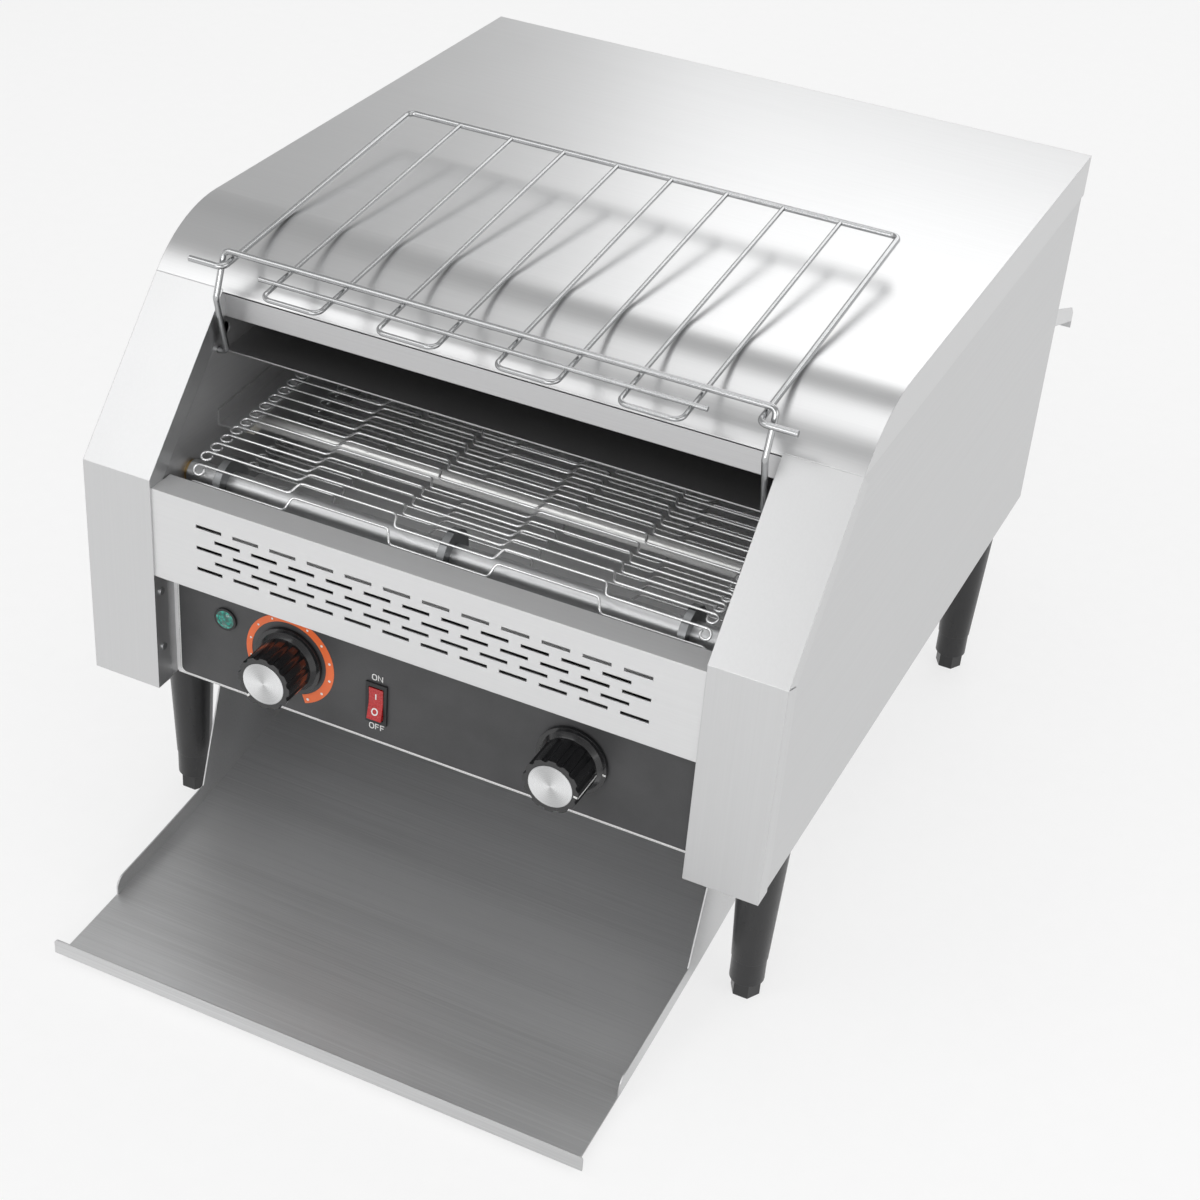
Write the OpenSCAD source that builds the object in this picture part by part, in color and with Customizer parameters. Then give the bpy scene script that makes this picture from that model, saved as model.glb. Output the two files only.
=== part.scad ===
// Conveyor toaster with a slatted top rack, a wire belt and a pull-out collection tray.
// Millimetres. +Z is up, the feed opening faces -Y, and the floor is at z = 0.

/* [Casing] */
// Width over the casing's side flanges
body_w = 465; // [430:1:540]
// Height of the flat top above the floor
body_top = 415; // [405:1:430]
// Overall depth, from the tray's lip to the rear deflector's edge
overall_d = 735; // [715:1:780]
// Depth of the casing
body_d = 540; // [530:1:560]
// How far the rear deflector stands out behind the casing
rear_out = 75; // [50:1:90]
// Height of the casing's underside above the floor
clear_h = 137; // [132:1:144]
// Thickness of the folded steel sheet
sheet_t = 1; // [0.8:0.1:1.2]
// Height of the corner covers' upright face
face_h = 155; // [150:1:160]
// Angle of the corner covers' slope above level, in degrees
slope_tilt = 48; // [46:1:50]
// Radius of the top's curved shoulder
crown_r = 90; // [84:1:96]
// Width of each front corner cover
cover_w = 48.5; // [44:0.5:53]
// Width of the folded returns along the corner covers' edges
return_d = 14; // [8:1:16]

/* [Front] */
// Set-back of the control panel behind the corner covers
panel_recess = 22; // [20:1:26]
// Height of the slotted front panel
slotted_h = 63.5; // [60:0.5:67]
// Distance of the slotted panel's ledge below the covers' bend
ledge_drop = 6; // [4:1:8]
// Length of one cooling slot
slot_len = 18.2; // [12:0.1:20]
// Height of one cooling slot
slot_h = 2.4; // [1.5:0.1:3]
// Distance between the slotted panel's ends and its outermost slots
slot_side = 31.5; // [25:0.5:40]
// Distance between the rows of slots
slot_row_pitch = 7.6; // [6:0.1:8.2]
// Number of slots in the longer rows
slot_count = 12; // [8:1:12]
// Number of rows of slots
slot_rows = 5; // [3:1:5]
// Distance of the two control knobs from the overlay's ends
knob_set = 83; // [75:1:90]
// Height of the knobs above the casing's underside
knob_rise = 41; // [39:1:44]
// Distance of the power switch from the speed knob
switch_set = 63; // [52:1:70]
// Height of the power switch above the casing's underside
switch_rise = 31; // [28:1:36]
// Distance of the indicator lamp from the overlay's end
lamp_set = 36; // [30:1:40]
// Height of the indicator lamp above the casing's underside
lamp_rise = 55; // [50:1:58]

/* [Knobs] */
// Radius of a knob's grip
knob_r = 18.5; // [17:0.5:20]
// How far a knob stands out
knob_len = 31; // [26:1:36]
// Radius of a knob's skirt
skirt_r = 23.5; // [22:0.5:25]
// Radius of the turned metal cap in a knob
cap_r = 14.5; // [12:0.5:16]
// Radius of the control spindles
spindle_r = 3; // [2.5:0.25:3.5]
// Outer radius of the printed speed scale
scale_r = 32; // [30:0.5:34]
// Width of the printed speed scale's band at its wide end
scale_band = 6.5; // [4:0.5:7]

/* [Conveyor] */
// Gap between the wire belt's edges and the inner walls
belt_gap = 11; // [9:0.5:20]
// Distance of the drive shaft's axis in front of the casing's back
drive_set = 78; // [70:1:95]
// Rise of the belt towards the rear, in degrees
belt_tilt = 3; // [2:0.5:4]
// Thickness of the belt's wires
belt_wire = 2; // [1.5:0.1:2.4]
// Number of open rows in one run of the belt
belt_rows = 26; // [20:1:26]
// Number of openings across the belt
belt_columns = 5; // [4:1:5]
// Set-back of the front roller's axis behind the corner covers
roller_set = 44.5; // [42:0.5:48]
// Height of the front roller's axis above the casing's underside
roller_rise = 140; // [137:1:143]
// Radius of the front roller's tube
roller_r = 8; // [6:0.5:9]
// Radius of the discs that carry the belt
disc_r = 17; // [15:0.5:18]
// Distance of the outer discs from the belt's edges
disc_set = 18; // [12:1:40]
// Width of the discs that carry the belt
disc_w = 5; // [4:0.5:10]
// Radius of the drive shaft
shaft_r = 5; // [4:0.5:6]

/* [Heaters] */
// Radius of a quartz heater tube
tube_r = 5; // [4:0.5:6]
// Number of heater tubes above and of those below the bread
tube_count = 4; // [3:1:4]
// Distance between neighbouring heater tubes
tube_pitch = 80; // [70:1:85]
// Height of the upper tubes above the belt's middle plane
upper_tube_rise = 52; // [48:1:54]

/* [Legs] */
// Distance of the legs' axes inside the casing's sides
leg_inset = 22.5; // [18.5:0.5:27.5]
// Set-back of the front legs behind the corner covers
leg_set = 73; // [62:1:84]
// Radius of a leg where it meets the casing
leg_top_r = 16.5; // [14:0.5:18]
// Radius of a leg's lower end
leg_low_r = 12; // [10:0.5:13]
// Height of the screwed foot below a leg
foot_h = 12; // [10:1:18]

/* [Tray] */
// Gap between the collection tray's side flanges and the corner covers' inner edges
tray_gap = 2.5; // [2:0.5:6]
// Distance of the collection tray's rear end in front of the casing's back
tray_set = 80; // [70:1:100]
// Slope of the tray at its lip, in degrees
tray_low_tilt = 3; // [2:0.5:4]
// Slope of the tray at its rear end, in degrees
tray_high_tilt = 16; // [14:0.5:17]
// Height of the tray's side flanges
flange_h = 13; // [10:1:15]
// Height of the tray's front lip
lip_h = 11; // [9:1:14]
// Height of the tray's underside above the floor
tray_clear = 4; // [3:1:8]

/* [Rack] */
// Thickness of the rack's frame wire and of the support bail
frame_wire = 4; // [3:0.5:4]
// Thickness of the rack's thin rods
rod_wire = 3; // [2:0.5:3]
// Number of thin rods
rod_count = 8; // [4:2:8]
// Distance of the rack's frame inside the corner covers' inner edges
rack_set = 11; // [10:1:16]
// Length of the rack behind the bail's crossbar
rack_len = 214; // [200:1:240]
// Slope of the rack, rising to the rear, in degrees
rack_tilt = 6; // [5:0.5:7]

/* [Hidden] */
$fn = 48;

// Overrun of a cut past the face it opens
over = 1;
// Clearance of a running shaft in its bearing, on the radius
running = 0.05;
// Clearance between loose neighbours that move past each other
loose = 0.3;

// Places of the casing's main faces
half_w = body_w / 2;
back_y = overall_d / 2 - rear_out;
front_y = back_y - body_d;
lip_y = -overall_d / 2;
floor_z = clear_h + sheet_t;
bend_z = clear_h + face_h;
eave_z = body_top - crown_r * (1 - cos(slope_tilt));
eave_y = front_y + (eave_z - bend_z) / tan(slope_tilt);
crown_y = eave_y + crown_r * sin(slope_tilt);
inner_x = half_w - cover_w;
wall_x = inner_x + sheet_t;
panel_y = front_y + panel_recess;
overlay_side = 2;
overlay_half = inner_x - overlay_side;
knob_x = overlay_half - knob_set;
lamp_x = overlay_half - lamp_set;
switch_x = knob_x - switch_set;
slot_pitch = (2 * (inner_x - slot_side) - slot_len) / (slot_count - 1);
belt_w = 2 * (wall_x - belt_gap);
belt_len = (body_d - roller_set - drive_set) / cos(belt_tilt);
leg_x = half_w - leg_inset;
rack_half = inner_x - rack_set;

// The casing's front outline seen from the side, as [y, z], from the bottom to the eave
front_path = [[front_y, clear_h], [front_y, bend_z], [eave_y, eave_z]];

// Overlap of the side and back panels behind the top cover's flange
flange_overlap = 12;
// Length of the top cover's lip below the eave, along the slope
eave_lip = 1.5;
// Reach of the key inside the sheet that joins the lip to the shoulder
lip_key = 0.3;
// Width of the relief slits at the corner covers' bends, and their start behind the face's sheet
relief_w = 1.2;
relief_set = 0.6;
// How far the corner covers' returns end short of the eave
return_gap = 0.5;

// Lintel strip over the feed opening
lintel_h = 15;
lintel_foot = 13;
lintel_gap = 2.5;
lintel_t = 1.2;

// Slotted panel's set-back, ledge and margin above its first slot row
slotted_set = 1.5;
ledge_d = 20;
ledge_lip_h = 34;
slot_margin = 16.5;
ledge_z = bend_z - ledge_drop;
slotted_y = front_y + slotted_set;
ledge_lip_z = ledge_z - ledge_lip_h;

// Control panel and its printed overlay
panel_hidden_h = 12;
overlay_t = 0.4;
overlay_low = 1;
overlay_r = 5;
overlay_y = panel_y - overlay_t;
scale_t = 0.2;
scale_gap_angle = 40;
scale_band_end = 3.5;
scale_steps = 64;

// Inner walls
wall_drop = 4;
wall_rear = 25;
wall_foot = 9;
wall_top = eave_z - wall_drop;
wall_rear_y = back_y - wall_rear;
peep_r = 5;
peep_back = 7.5;
peep_rise = 11;

// Deck between the hot chamber and the electrical bay
deck_rise = 98;
deck_ramp = 70;
deck_flange = 8;
deck_rear = 325;
deck_rear_y = front_y + deck_rear;

// Slide that turns the toast from the belt's end down to the tray
slide_r = 145;
slide_t = 1;
slide_steps = 14;
slide_top_h = 37;
slide_top_rise = 119;

// Base plate's opening for the falling toast
drop_inset = 22;
drop_half = inner_x - drop_inset;
drop_set = 90;
drop_len = 83;

// Rear deflector's mounting flange, fall, sides and lip
chute_rise = 143;
chute_fall = 26;
chute_flange = 12;
chute_wall = 14;
chute_lip = 6;
chute_side = 4;

// Back panel's vents
vent_len = 34;
vent_h = 3;
vent_side = 54.5;
vent_row_pitch = 9;
vent_rise = 171;
vent_count = 8;
vent_rows = 4;
vent_pitch = (2 * (half_w - vent_side) - vent_len) / (vent_count - 1);

// Conveyor, in a frame with its origin on the front roller's axis and its y axis along the belt
roller_y = front_y + roller_set;
roller_z = clear_h + roller_rise;
belt_in = disc_r + loose;
belt_out = belt_in + belt_wire;
disc_x = belt_w / 2 - disc_set;
wrap_rows = 4;
// Reach of the keys that join the belt's runs to its half turns
belt_key = 0.3;
bush_r = 7;
bush_flange_r = 10;
bush_flange_t = 2;
bush_in = 2;
journal_r = 4;
journal_len = 4;
drive_y = roller_y + belt_len * cos(belt_tilt);
drive_z = roller_z + belt_len * sin(belt_tilt);

// Guide rails under the belt's upper run
rail_w = 20;
rail_t = 1.5;
rail_inset = 32;
rail_web = 10;

// Heaters
holder_w = 14;
holder_t = 6;
tube_first_low = 70;
tube_first_high = 95;
reflector_gap = 6;
reflector_front = 45;
reflector_rear = 22;

// Chain drive in the gap outside the right inner wall
sprocket_gap = 11;
sprocket_x = wall_x + sprocket_gap;
sprocket_w = 4;
sprocket_r = 18;
tooth_count = 16;
tooth_gap_r = 2.2;
chain_t = 3;
chain_w = 3;
motor_set = 228;
motor_y = front_y + motor_set;
motor_rise = 37;
motor_z = clear_h + motor_rise;
gearbox_size = 56;
gearbox_w = 26;
motor_r = 24;
motor_len = 50;
motor_shaft_r = 4;
bracket_t = 2;
bracket_size = 66;
bracket_foot = 20;
bracket_bore_r = 12;
shaft_end = 2;

// Cooling fan
fan_size = 80;
fan_d = 25;
fan_x = -95;
fan_set = 278;
fan_y = front_y + fan_set;
fan_bore_r = 37;
fan_hub_r = 15;
fan_blade_r = 35.5;
fan_blade_t = 1.5;
fan_blade_count = 7;
fan_blade_tilt = 38;
fan_arm_w = 6;
fan_arm_t = 3;
fan_arm_turn = 15;
fan_pin_r = 2;

// Terminal block
terminal_size = [62, 20, 22];
terminal_x = 40;
terminal_set = 150;
terminal_y = front_y + terminal_set;
terminal_count = 5;
terminal_bore_r = 2.5;

// Controls behind and in the panel
bush_out_r = 4.8;
bush_hole_r = 5;
body_depth = 20;
controller_r = 17;
selector_size = 30;
spindle_in = 12;
knob_gap = 0.8;
skirt_t = 2.5;
collar_h = 3;
lobe_count = 12;
lobe_r = 2.6;
lobe_ring = 19.6;
cap_depth = 1;
cap_proud = 0.3;
spindle_reach = 20;

// Power switch
bezel_w = 15;
bezel_h = 30;
bezel_t = 1.6;
housing_w = 12.6;
housing_h = 26.4;
housing_d = 18;
rocker_w = 10;
rocker_h = 22.4;
rocker_front = 3.2;
rocker_dip = 1.4;
rocker_back = 5;
rocker_tilt = 7;
rocker_pin_r = 1.2;
rocker_pin_len = 0.8;
cavity_gap = 0.3;
cavity_h = 24.6;
cavity_depth = 11;

// Indicator lamp
lamp_r = 6.4;
lamp_bezel_r = 8;
lamp_bezel_t = 1.5;
lamp_dome_r = 9;
lamp_proud = 3.2;
lamp_depth = 16;

// Legs and screwed feet
leg_ring_z = 30;
leg_ring_r = 11.5;
leg_flange_t = 3;
leg_flange_grow = 1.5;
foot_r = 10;
foot_stem_r = 5;
foot_stem_len = 16;
stem_top_gap = 0.5;
leg_screw_r = 3.5;
leg_front_y = front_y + leg_set;
leg_rear_set = 45;
leg_rear_y = back_y - leg_rear_set;

// Tray hanger and runners
tray_half = inner_x - tray_gap;
tray_len = back_y - tray_set - lip_y;
tray_steps = 24;
hanger_drop = 16;
hanger_z = clear_h - hanger_drop;
hanger_w = 9;
hanger_start = 40;
hanger_ramp = 30;
lip_over = 4.5;
lip_corner_r = 3;
flange_end = 60;
flange_end_r = 8;
runner_t = 1.5;

// Rack and bail, seen from the side as [y, z]
bar_set = 5;
bar_y = eave_y - bar_set;
bail_pin_drop = 39;
bail_pin_z = eave_z - bail_pin_drop;
crown_gap = 0.4;
bar_gap = 0.4;
bail_gap = 5;
bail_half = inner_x - bail_gap;
bail_kink = [-10, 41];
pin_reach = 4;
stub_len = 23.5;
stub_x = rack_half + stub_len;
stub_set = 11;
stub_y = bar_y - stub_set;
rack_front = 29.5;
weld_in = 0.6;
cross_set = 15.5;
frame_bend = 5;
rod_bend = 6;
bail_bend = 4;
// A bend is this much thicker than its wire, and the wire reaches this far into it
bend_grow = 0.02;
bend_in = 0.2;
cross_over = 10;

// Cable gland on the back panel
gland_side = 62.5;
gland_x = gland_side - half_w;
gland_rise = 32;
gland_r = 11;
gland_nut_h = 6;
gland_len = 22;
gland_bore_r = 4.5;
gland_hole_r = 8;

// Screws and rivets
screw_r = 4;
screw_h = 2;
rivet_r = 2.4;
rivet_h = 1;

// Side-view helpers: a path is a list of [y, z] points
function unit(v) = v / norm(v);
function right_of(v) = [v[1], -v[0]];
function leg_dir(p, i) = unit(p[i + 1] - p[i]);
function mitre(p, i) =
    i == 0 ? right_of(leg_dir(p, 0)) :
    i == len(p) - 1 ? right_of(leg_dir(p, i - 1)) :
    let (m = right_of(leg_dir(p, i - 1)) + right_of(leg_dir(p, i))) 2 * m / (m * m);
function shifted(p, d) = [for (i = [0:len(p) - 1]) p[i] + d * mitre(p, i)];
function reversed(p) = [for (i = [len(p) - 1:-1:0]) p[i]];
function strip(p, d) = concat(p, reversed(shifted(p, d)));

// Height of the tray's underside at a given y
function tray_z(y) =
    let (u = (y - lip_y) / tray_len, low = tan(tray_low_tilt), high = tan(tray_high_tilt))
    tray_clear + tray_len * (low * u + (high - low) * u * u / 2);

// Height at a given y of the plane through the middle of the rack's frame, which lies on the shoulder
function rack_level(y) =
    body_top - crown_r + (crown_r + crown_gap + frame_wire / 2) / cos(rack_tilt)
    + (y - crown_y) * tan(rack_tilt);
bar_z = rack_level(bar_y) + (frame_wire + bar_gap) / cos(rack_tilt);

// Extrudes a side view across the part, from x0 to x1
module across(x0, x1) {
    translate([x0, 0, 0]) rotate([90, 0, 90]) linear_extrude(x1 - x0) children();
}

module both_sides() {
    children();
    mirror([1, 0, 0]) children();
}

// A box from its low corner to its high corner
module block(low, high) {
    translate(low) cube(high - low);
}

// A round bar between two points
module rod(a, b, r) {
    d = b - a;
    translate(a) rotate([0, acos(d[2] / norm(d)), atan2(d[1], d[0])]) cylinder(h = norm(d), r = r);
}

// A wire's round bend at point p, from direction a to direction b
module elbow(p, a, b, r, bend_r) {
    turn = acos(a * b);
    n = unit(cross(a, b));
    x = cross(a, n);
    c = p - bend_r * tan(turn / 2) * a - bend_r * x;
    multmatrix([
        [x[0], a[0], n[0], c[0]],
        [x[1], a[1], n[1], c[1]],
        [x[2], a[2], n[2], c[2]],
        [0, 0, 0, 1]
    ]) rotate_extrude(angle = turn) translate([bend_r, 0]) circle(r + bend_grow);
}

// A wire through a list of points, with a round bend at each inner point
module wire(p, r, bend_r) {
    last = len(p) - 1;
    dirs = [for (i = [0:last - 1]) unit(p[i + 1] - p[i])];
    cuts = [for (i = [0:last])
        i == 0 || i == last ? 0 : bend_r * tan(acos(dirs[i - 1] * dirs[i]) / 2) - bend_in];
    for (i = [0:last - 1]) rod(p[i] + cuts[i] * dirs[i], p[i + 1] - cuts[i + 1] * dirs[i], r);
    for (i = [1:last - 1]) elbow(p[i], dirs[i - 1], dirs[i], r, bend_r);
}

// A cylinder along X
module bar_x(x0, x1, r) {
    translate([x0, 0, 0]) rotate([0, 90, 0]) cylinder(h = x1 - x0, r = r);
}

// Puts children in the belt's frame
module on_belt(u = 0, w = 0) {
    translate([0, roller_y, roller_z]) rotate([belt_tilt, 0, 0]) translate([0, u, w]) children();
}

// Puts children on the control panel, with their z axis pointing out of the front
module on_panel(x, rise, y = overlay_y) {
    translate([x, y, clear_h + rise]) rotate([90, 0, 0]) children();
}

// The space under the top's outline, drawn in by a sheet on every side
module crown_block(inset, low_z) {
    r = crown_r - inset;
    block([-half_w + inset, crown_y, low_z], [half_w - inset, back_y - inset, body_top - inset]);
    translate([0, crown_y, 0]) mirror([0, 1, 0]) intersection() {
        translate([0, 0, body_top - crown_r]) bar_x(-half_w + inset, half_w - inset, r);
        block([-half_w, 0, low_z], [half_w, crown_y - eave_y + over, body_top]);
    }
}

module top_cover() color("#c9cacb") {
    eave = [eave_y, eave_z];
    back = [eave_y + sheet_t / sin(slope_tilt), eave_z];
    down = -eave_lip * [cos(slope_tilt), sin(slope_tilt)];
    difference() {
        crown_block(0, eave_z);
        crown_block(sheet_t, eave_z - over);
    }
    across(-inner_x, inner_x) polygon([
        eave, eave + down, back + down, back,
        eave + [3 * lip_key, lip_key],
        eave + [1.5 * lip_key, lip_key]
    ]);
}

// Side panel's outline, tucked behind the corner cover and the top cover's flange
module side_outline() {
    p = shifted(front_path, sheet_t);
    polygon(concat(p, [
        [crown_y, eave_z + flange_overlap],
        [back_y - 2 * sheet_t, eave_z + flange_overlap],
        [back_y - 2 * sheet_t, clear_h]
    ]));
}

module right_side_panel() color("#c4c5c6") {
    across(half_w - 2 * sheet_t, half_w - sheet_t) side_outline();
}

module left_side_panel() color("#c4c5c6") {
    mirror([1, 0, 0]) across(half_w - 2 * sheet_t, half_w - sheet_t) side_outline();
}

// A corner cover's folded return seen from the side, starting inside the face's sheet
module return_outline() {
    end = front_path[2] - return_gap * leg_dir(front_path, 1);
    path = [front_path[0], front_path[1], end];
    polygon(strip(shifted(path, sheet_t / 2), return_d - sheet_t / 2));
}

// One corner cover: face, slope, two folded returns with relief slits, and a bottom return
module corner_cover() {
    across(inner_x, half_w) polygon(strip(front_path, sheet_t));
    difference() {
        union() {
            across(half_w - sheet_t, half_w) return_outline();
            across(inner_x, inner_x + sheet_t) return_outline();
        }
        translate([0, front_y + sheet_t, bend_z])
            rotate([(90 - slope_tilt) / -2, 0, 0])
            block([half_w - sheet_t - over, relief_set, -relief_w / 2],
                [half_w + over, return_d + over, relief_w / 2]);
    }
    block([wall_x, front_y, clear_h], [half_w - 2 * sheet_t, panel_y + sheet_t, floor_z]);
}

module right_corner_cover() color("#d2d3d4") corner_cover();

module left_corner_cover() color("#d2d3d4") mirror([1, 0, 0]) corner_cover();

module lintel() color("#b9babb") {
    y0 = eave_y + lintel_gap;
    top = wall_top;
    low = top - lintel_h;
    across(-inner_x, inner_x) polygon(strip(
        [[y0 + lintel_foot, top], [y0, top], [y0, low], [y0 + lintel_foot / 2, low]], -lintel_t));
}

module slot_row(i) {
    n = slot_count - i % 2;
    z = slotted_h - slot_margin - i * slot_row_pitch;
    x0 = -(n - 1) / 2 * slot_pitch;
    for (k = [0:n - 1])
        translate([x0 + k * slot_pitch - slot_len / 2, z - slot_h / 2]) square([slot_len, slot_h]);
}

module slotted_panel() color("#d6d7d8") {
    low = ledge_z - slotted_h;
    translate([0, slotted_y + sheet_t, low]) rotate([90, 0, 0]) linear_extrude(sheet_t) difference() {
        translate([-inner_x, 0]) square([2 * inner_x, slotted_h]);
        for (i = [0:slot_rows - 1]) slot_row(i);
    }
    rear = slotted_y + ledge_d;
    block([-inner_x, slotted_y + sheet_t, ledge_z - sheet_t], [inner_x, rear, ledge_z]);
    block([-inner_x, rear - sheet_t, ledge_lip_z], [inner_x, rear, ledge_z - sheet_t]);
    block([-inner_x, slotted_y + sheet_t, low], [inner_x, overlay_y, low + sheet_t]);
}

// Round holes for the knobs' bushes and the lamp, and the switch's cut-out
module control_holes(depth) {
    for (x = [-knob_x, knob_x]) on_panel(x, knob_rise, panel_y + sheet_t + over)
        cylinder(h = depth, r = bush_hole_r);
    on_panel(-lamp_x, lamp_rise, panel_y + sheet_t + over) cylinder(h = depth, r = lamp_r);
    on_panel(-switch_x, switch_rise, panel_y + sheet_t + over)
        translate([-housing_w / 2, -housing_h / 2, 0]) cube([housing_w, housing_h, depth]);
}

module control_panel() color("#b4b5b6") {
    top = ledge_z - slotted_h + panel_hidden_h;
    difference() {
        union() {
            block([-inner_x, panel_y, clear_h], [inner_x, panel_y + sheet_t, floor_z]);
            block([-wall_x, panel_y, floor_z], [wall_x, panel_y + sheet_t, top]);
        }
        control_holes(sheet_t + 2 * over);
    }
}

module control_overlay() color("#3c3c3e") {
    half = overlay_half;
    top = ledge_z - slotted_h + panel_hidden_h - sheet_t;
    low = clear_h + overlay_low;
    difference() {
        translate([0, panel_y, 0]) rotate([90, 0, 0]) linear_extrude(overlay_t) {
            translate([-half, low + overlay_r]) square([2 * half, top - low - overlay_r]);
            translate([-half + overlay_r, low]) square([2 * (half - overlay_r), overlay_r]);
            for (x = [-half + overlay_r, half - overlay_r])
                translate([x, low + overlay_r]) circle(overlay_r);
        }
        control_holes(sheet_t + overlay_t + 2 * over);
    }
}

module speed_scale() color("#e4672f") {
    sweep = 360 - scale_gap_angle;
    outer = [for (i = [0:scale_steps]) let (a = -90 + scale_gap_angle / 2 + sweep * i / scale_steps)
        scale_r * [cos(a), sin(a)]];
    inner = [for (i = [scale_steps:-1:0]) let (a = -90 + scale_gap_angle / 2 + sweep * i / scale_steps)
        (scale_r - scale_band + (scale_band - scale_band_end) * i / scale_steps) * [cos(a), sin(a)]];
    on_panel(-knob_x, knob_rise) linear_extrude(scale_t) polygon(concat(outer, inner));
}

module base_plate() color("#a8a9aa") {
    half = half_w - 2 * sheet_t;
    edge_h = return_d - 2 * sheet_t;
    difference() {
        block([-half, panel_y + sheet_t, clear_h], [half, back_y - 2 * sheet_t, floor_z]);
        block([-drop_half, back_y - drop_set - drop_len, clear_h - over],
            [drop_half, back_y - drop_set, floor_z + over]);
        for (x = [-leg_x, leg_x], y = [leg_front_y, leg_rear_y])
            translate([x, y, clear_h - over]) cylinder(h = sheet_t + 2 * over, r = leg_screw_r);
    }
    for (x = [-half, half - sheet_t])
        block([x, panel_y + sheet_t + return_d, floor_z],
            [x + sheet_t, back_y - 2 * sheet_t, floor_z + edge_h]);
}

module back_panel() color("#c0c1c2") {
    half = half_w - sheet_t;
    y0 = back_y - 2 * sheet_t;
    x0 = -(vent_count - 1) / 2 * vent_pitch;
    difference() {
        block([-half, y0, clear_h], [half, back_y - sheet_t, eave_z + flange_overlap]);
        for (k = [0:vent_count - 1], i = [0:vent_rows - 1])
            translate([x0 + k * vent_pitch - vent_len / 2, y0 - over,
                clear_h + vent_rise + i * vent_row_pitch]) cube([vent_len, sheet_t + 2 * over, vent_h]);
        translate([gland_x, y0 - over, clear_h + gland_rise])
            rotate([-90, 0, 0]) cylinder(h = sheet_t + 2 * over, r = gland_hole_r);
    }
}

module rear_deflector() color("#c8c9ca") {
    y0 = back_y - sheet_t;
    y1 = overall_d / 2 - sheet_t;
    z0 = clear_h + chute_rise;
    z1 = z0 - chute_fall;
    half = half_w - chute_side;
    across(-half, half)
        polygon(strip([[y0, z0 + chute_flange], [y0, z0], [y1, z1], [y1, z1 - chute_lip]], -sheet_t));
    both_sides() across(half - sheet_t, half) polygon([
        [y0 + sheet_t, z0],
        [y1, z1],
        [y1, z1 + chute_wall / 2],
        [y1 - chute_wall / 2, z1 + chute_wall],
        [y0 + sheet_t, z0 + chute_wall]
    ]);
}

// Inner wall's outline, with the holes that carry the shafts and the rack's bail
module wall_outline() {
    p = shifted(front_path, sheet_t);
    run = (wall_top - p[1][1]) / tan(slope_tilt);
    difference() {
        polygon([
            [p[0][0], floor_z],
            p[1],
            [p[1][0] + run, wall_top],
            [wall_rear_y, wall_top],
            [wall_rear_y, floor_z]
        ]);
        translate([roller_y, roller_z]) circle(bush_r);
        translate([drive_y, drive_z]) circle(bush_r);
        translate([bar_y, bail_pin_z]) circle(frame_wire / 2 + loose);
        translate([bar_y + peep_back, bail_pin_z + peep_rise]) circle(peep_r);
    }
}

module wall_flange() {
    block([wall_x + sheet_t, panel_y + sheet_t, floor_z],
        [wall_x + wall_foot, wall_rear_y, floor_z + sheet_t]);
}

module left_inner_wall() color("#5d5e60") {
    mirror([1, 0, 0]) {
        across(wall_x, wall_x + sheet_t) wall_outline();
        wall_flange();
    }
}

module right_inner_wall() color("#5d5e60") {
    difference() {
        across(wall_x, wall_x + sheet_t) wall_outline();
        translate([0, motor_y, motor_z]) bar_x(wall_x - over, wall_x + sheet_t + over, bush_r);
    }
    wall_flange();
}

module inner_deck() color("#8e8f91") {
    front = slotted_y + ledge_d + sheet_t;
    z0 = ledge_lip_z + sheet_t;
    z1 = clear_h + deck_rise;
    across(-wall_x, wall_x) polygon(strip([
        [front, z0 + deck_flange],
        [front, z0],
        [front + deck_ramp, z1],
        [deck_rear_y, z1],
        [deck_rear_y, floor_z]
    ], sheet_t));
}

module upper_reflector() color("#a9aaab") {
    on_belt(0, upper_tube_rise + tube_r + reflector_gap)
        block([-wall_x, reflector_front, 0], [wall_x, belt_len + reflector_rear, sheet_t]);
}

module toast_slide() color("#9fa0a2") {
    y1 = wall_rear_y - 2 * sheet_t;
    z1 = clear_h + slide_top_rise;
    last = asin((z1 - floor_z) / slide_r);
    arc = [for (i = [0:slide_steps]) let (a = last * i / slide_steps)
        [y1 - slide_r * (1 - cos(a)), z1 - slide_r * sin(a)]];
    across(-wall_x, wall_x) polygon(strip(arc, slide_t));
    block([-wall_x, y1 - slide_t, z1], [wall_x, y1, z1 + slide_top_h]);
}

module tube_row(first, w) {
    for (i = [0:tube_count - 1])
        on_belt(first + i * tube_pitch, w) bar_x(-wall_x + sheet_t, wall_x - sheet_t, tube_r);
}

module upper_heaters() color("#d9dadb") tube_row(tube_first_high, upper_tube_rise);

module lower_heaters() color("#d9dadb") tube_row(tube_first_low, 0);

// Ceramic blocks on both inner walls that hold the tubes' ends
module heater_holders() color("#e9e4da") {
    for (row = [[tube_first_high, upper_tube_rise], [tube_first_low, 0]], i = [0:tube_count - 1])
        on_belt(row[0] + i * tube_pitch, row[1]) both_sides() difference() {
            block([wall_x - holder_t, -holder_w / 2, -holder_w / 2], [wall_x, holder_w / 2, holder_w / 2]);
            bar_x(wall_x - holder_t - over, wall_x - sheet_t, tube_r);
        }
}

module belt_rails() color("#4b4c4e") {
    shelf = belt_in - loose;
    on_belt() both_sides() {
        block([wall_x - rail_w, rail_inset, shelf - rail_t], [wall_x, belt_len - rail_inset, shelf]);
        block([wall_x - rail_t, rail_inset, shelf], [wall_x, belt_len - rail_inset, shelf + rail_web]);
    }
}

column_w = (belt_w - belt_wire) / belt_columns;
row_p = (belt_len - belt_wire) / belt_rows;
wrap_angle = 180 / wrap_rows;
wire_angle = belt_wire / belt_out * 180 / PI;

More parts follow.
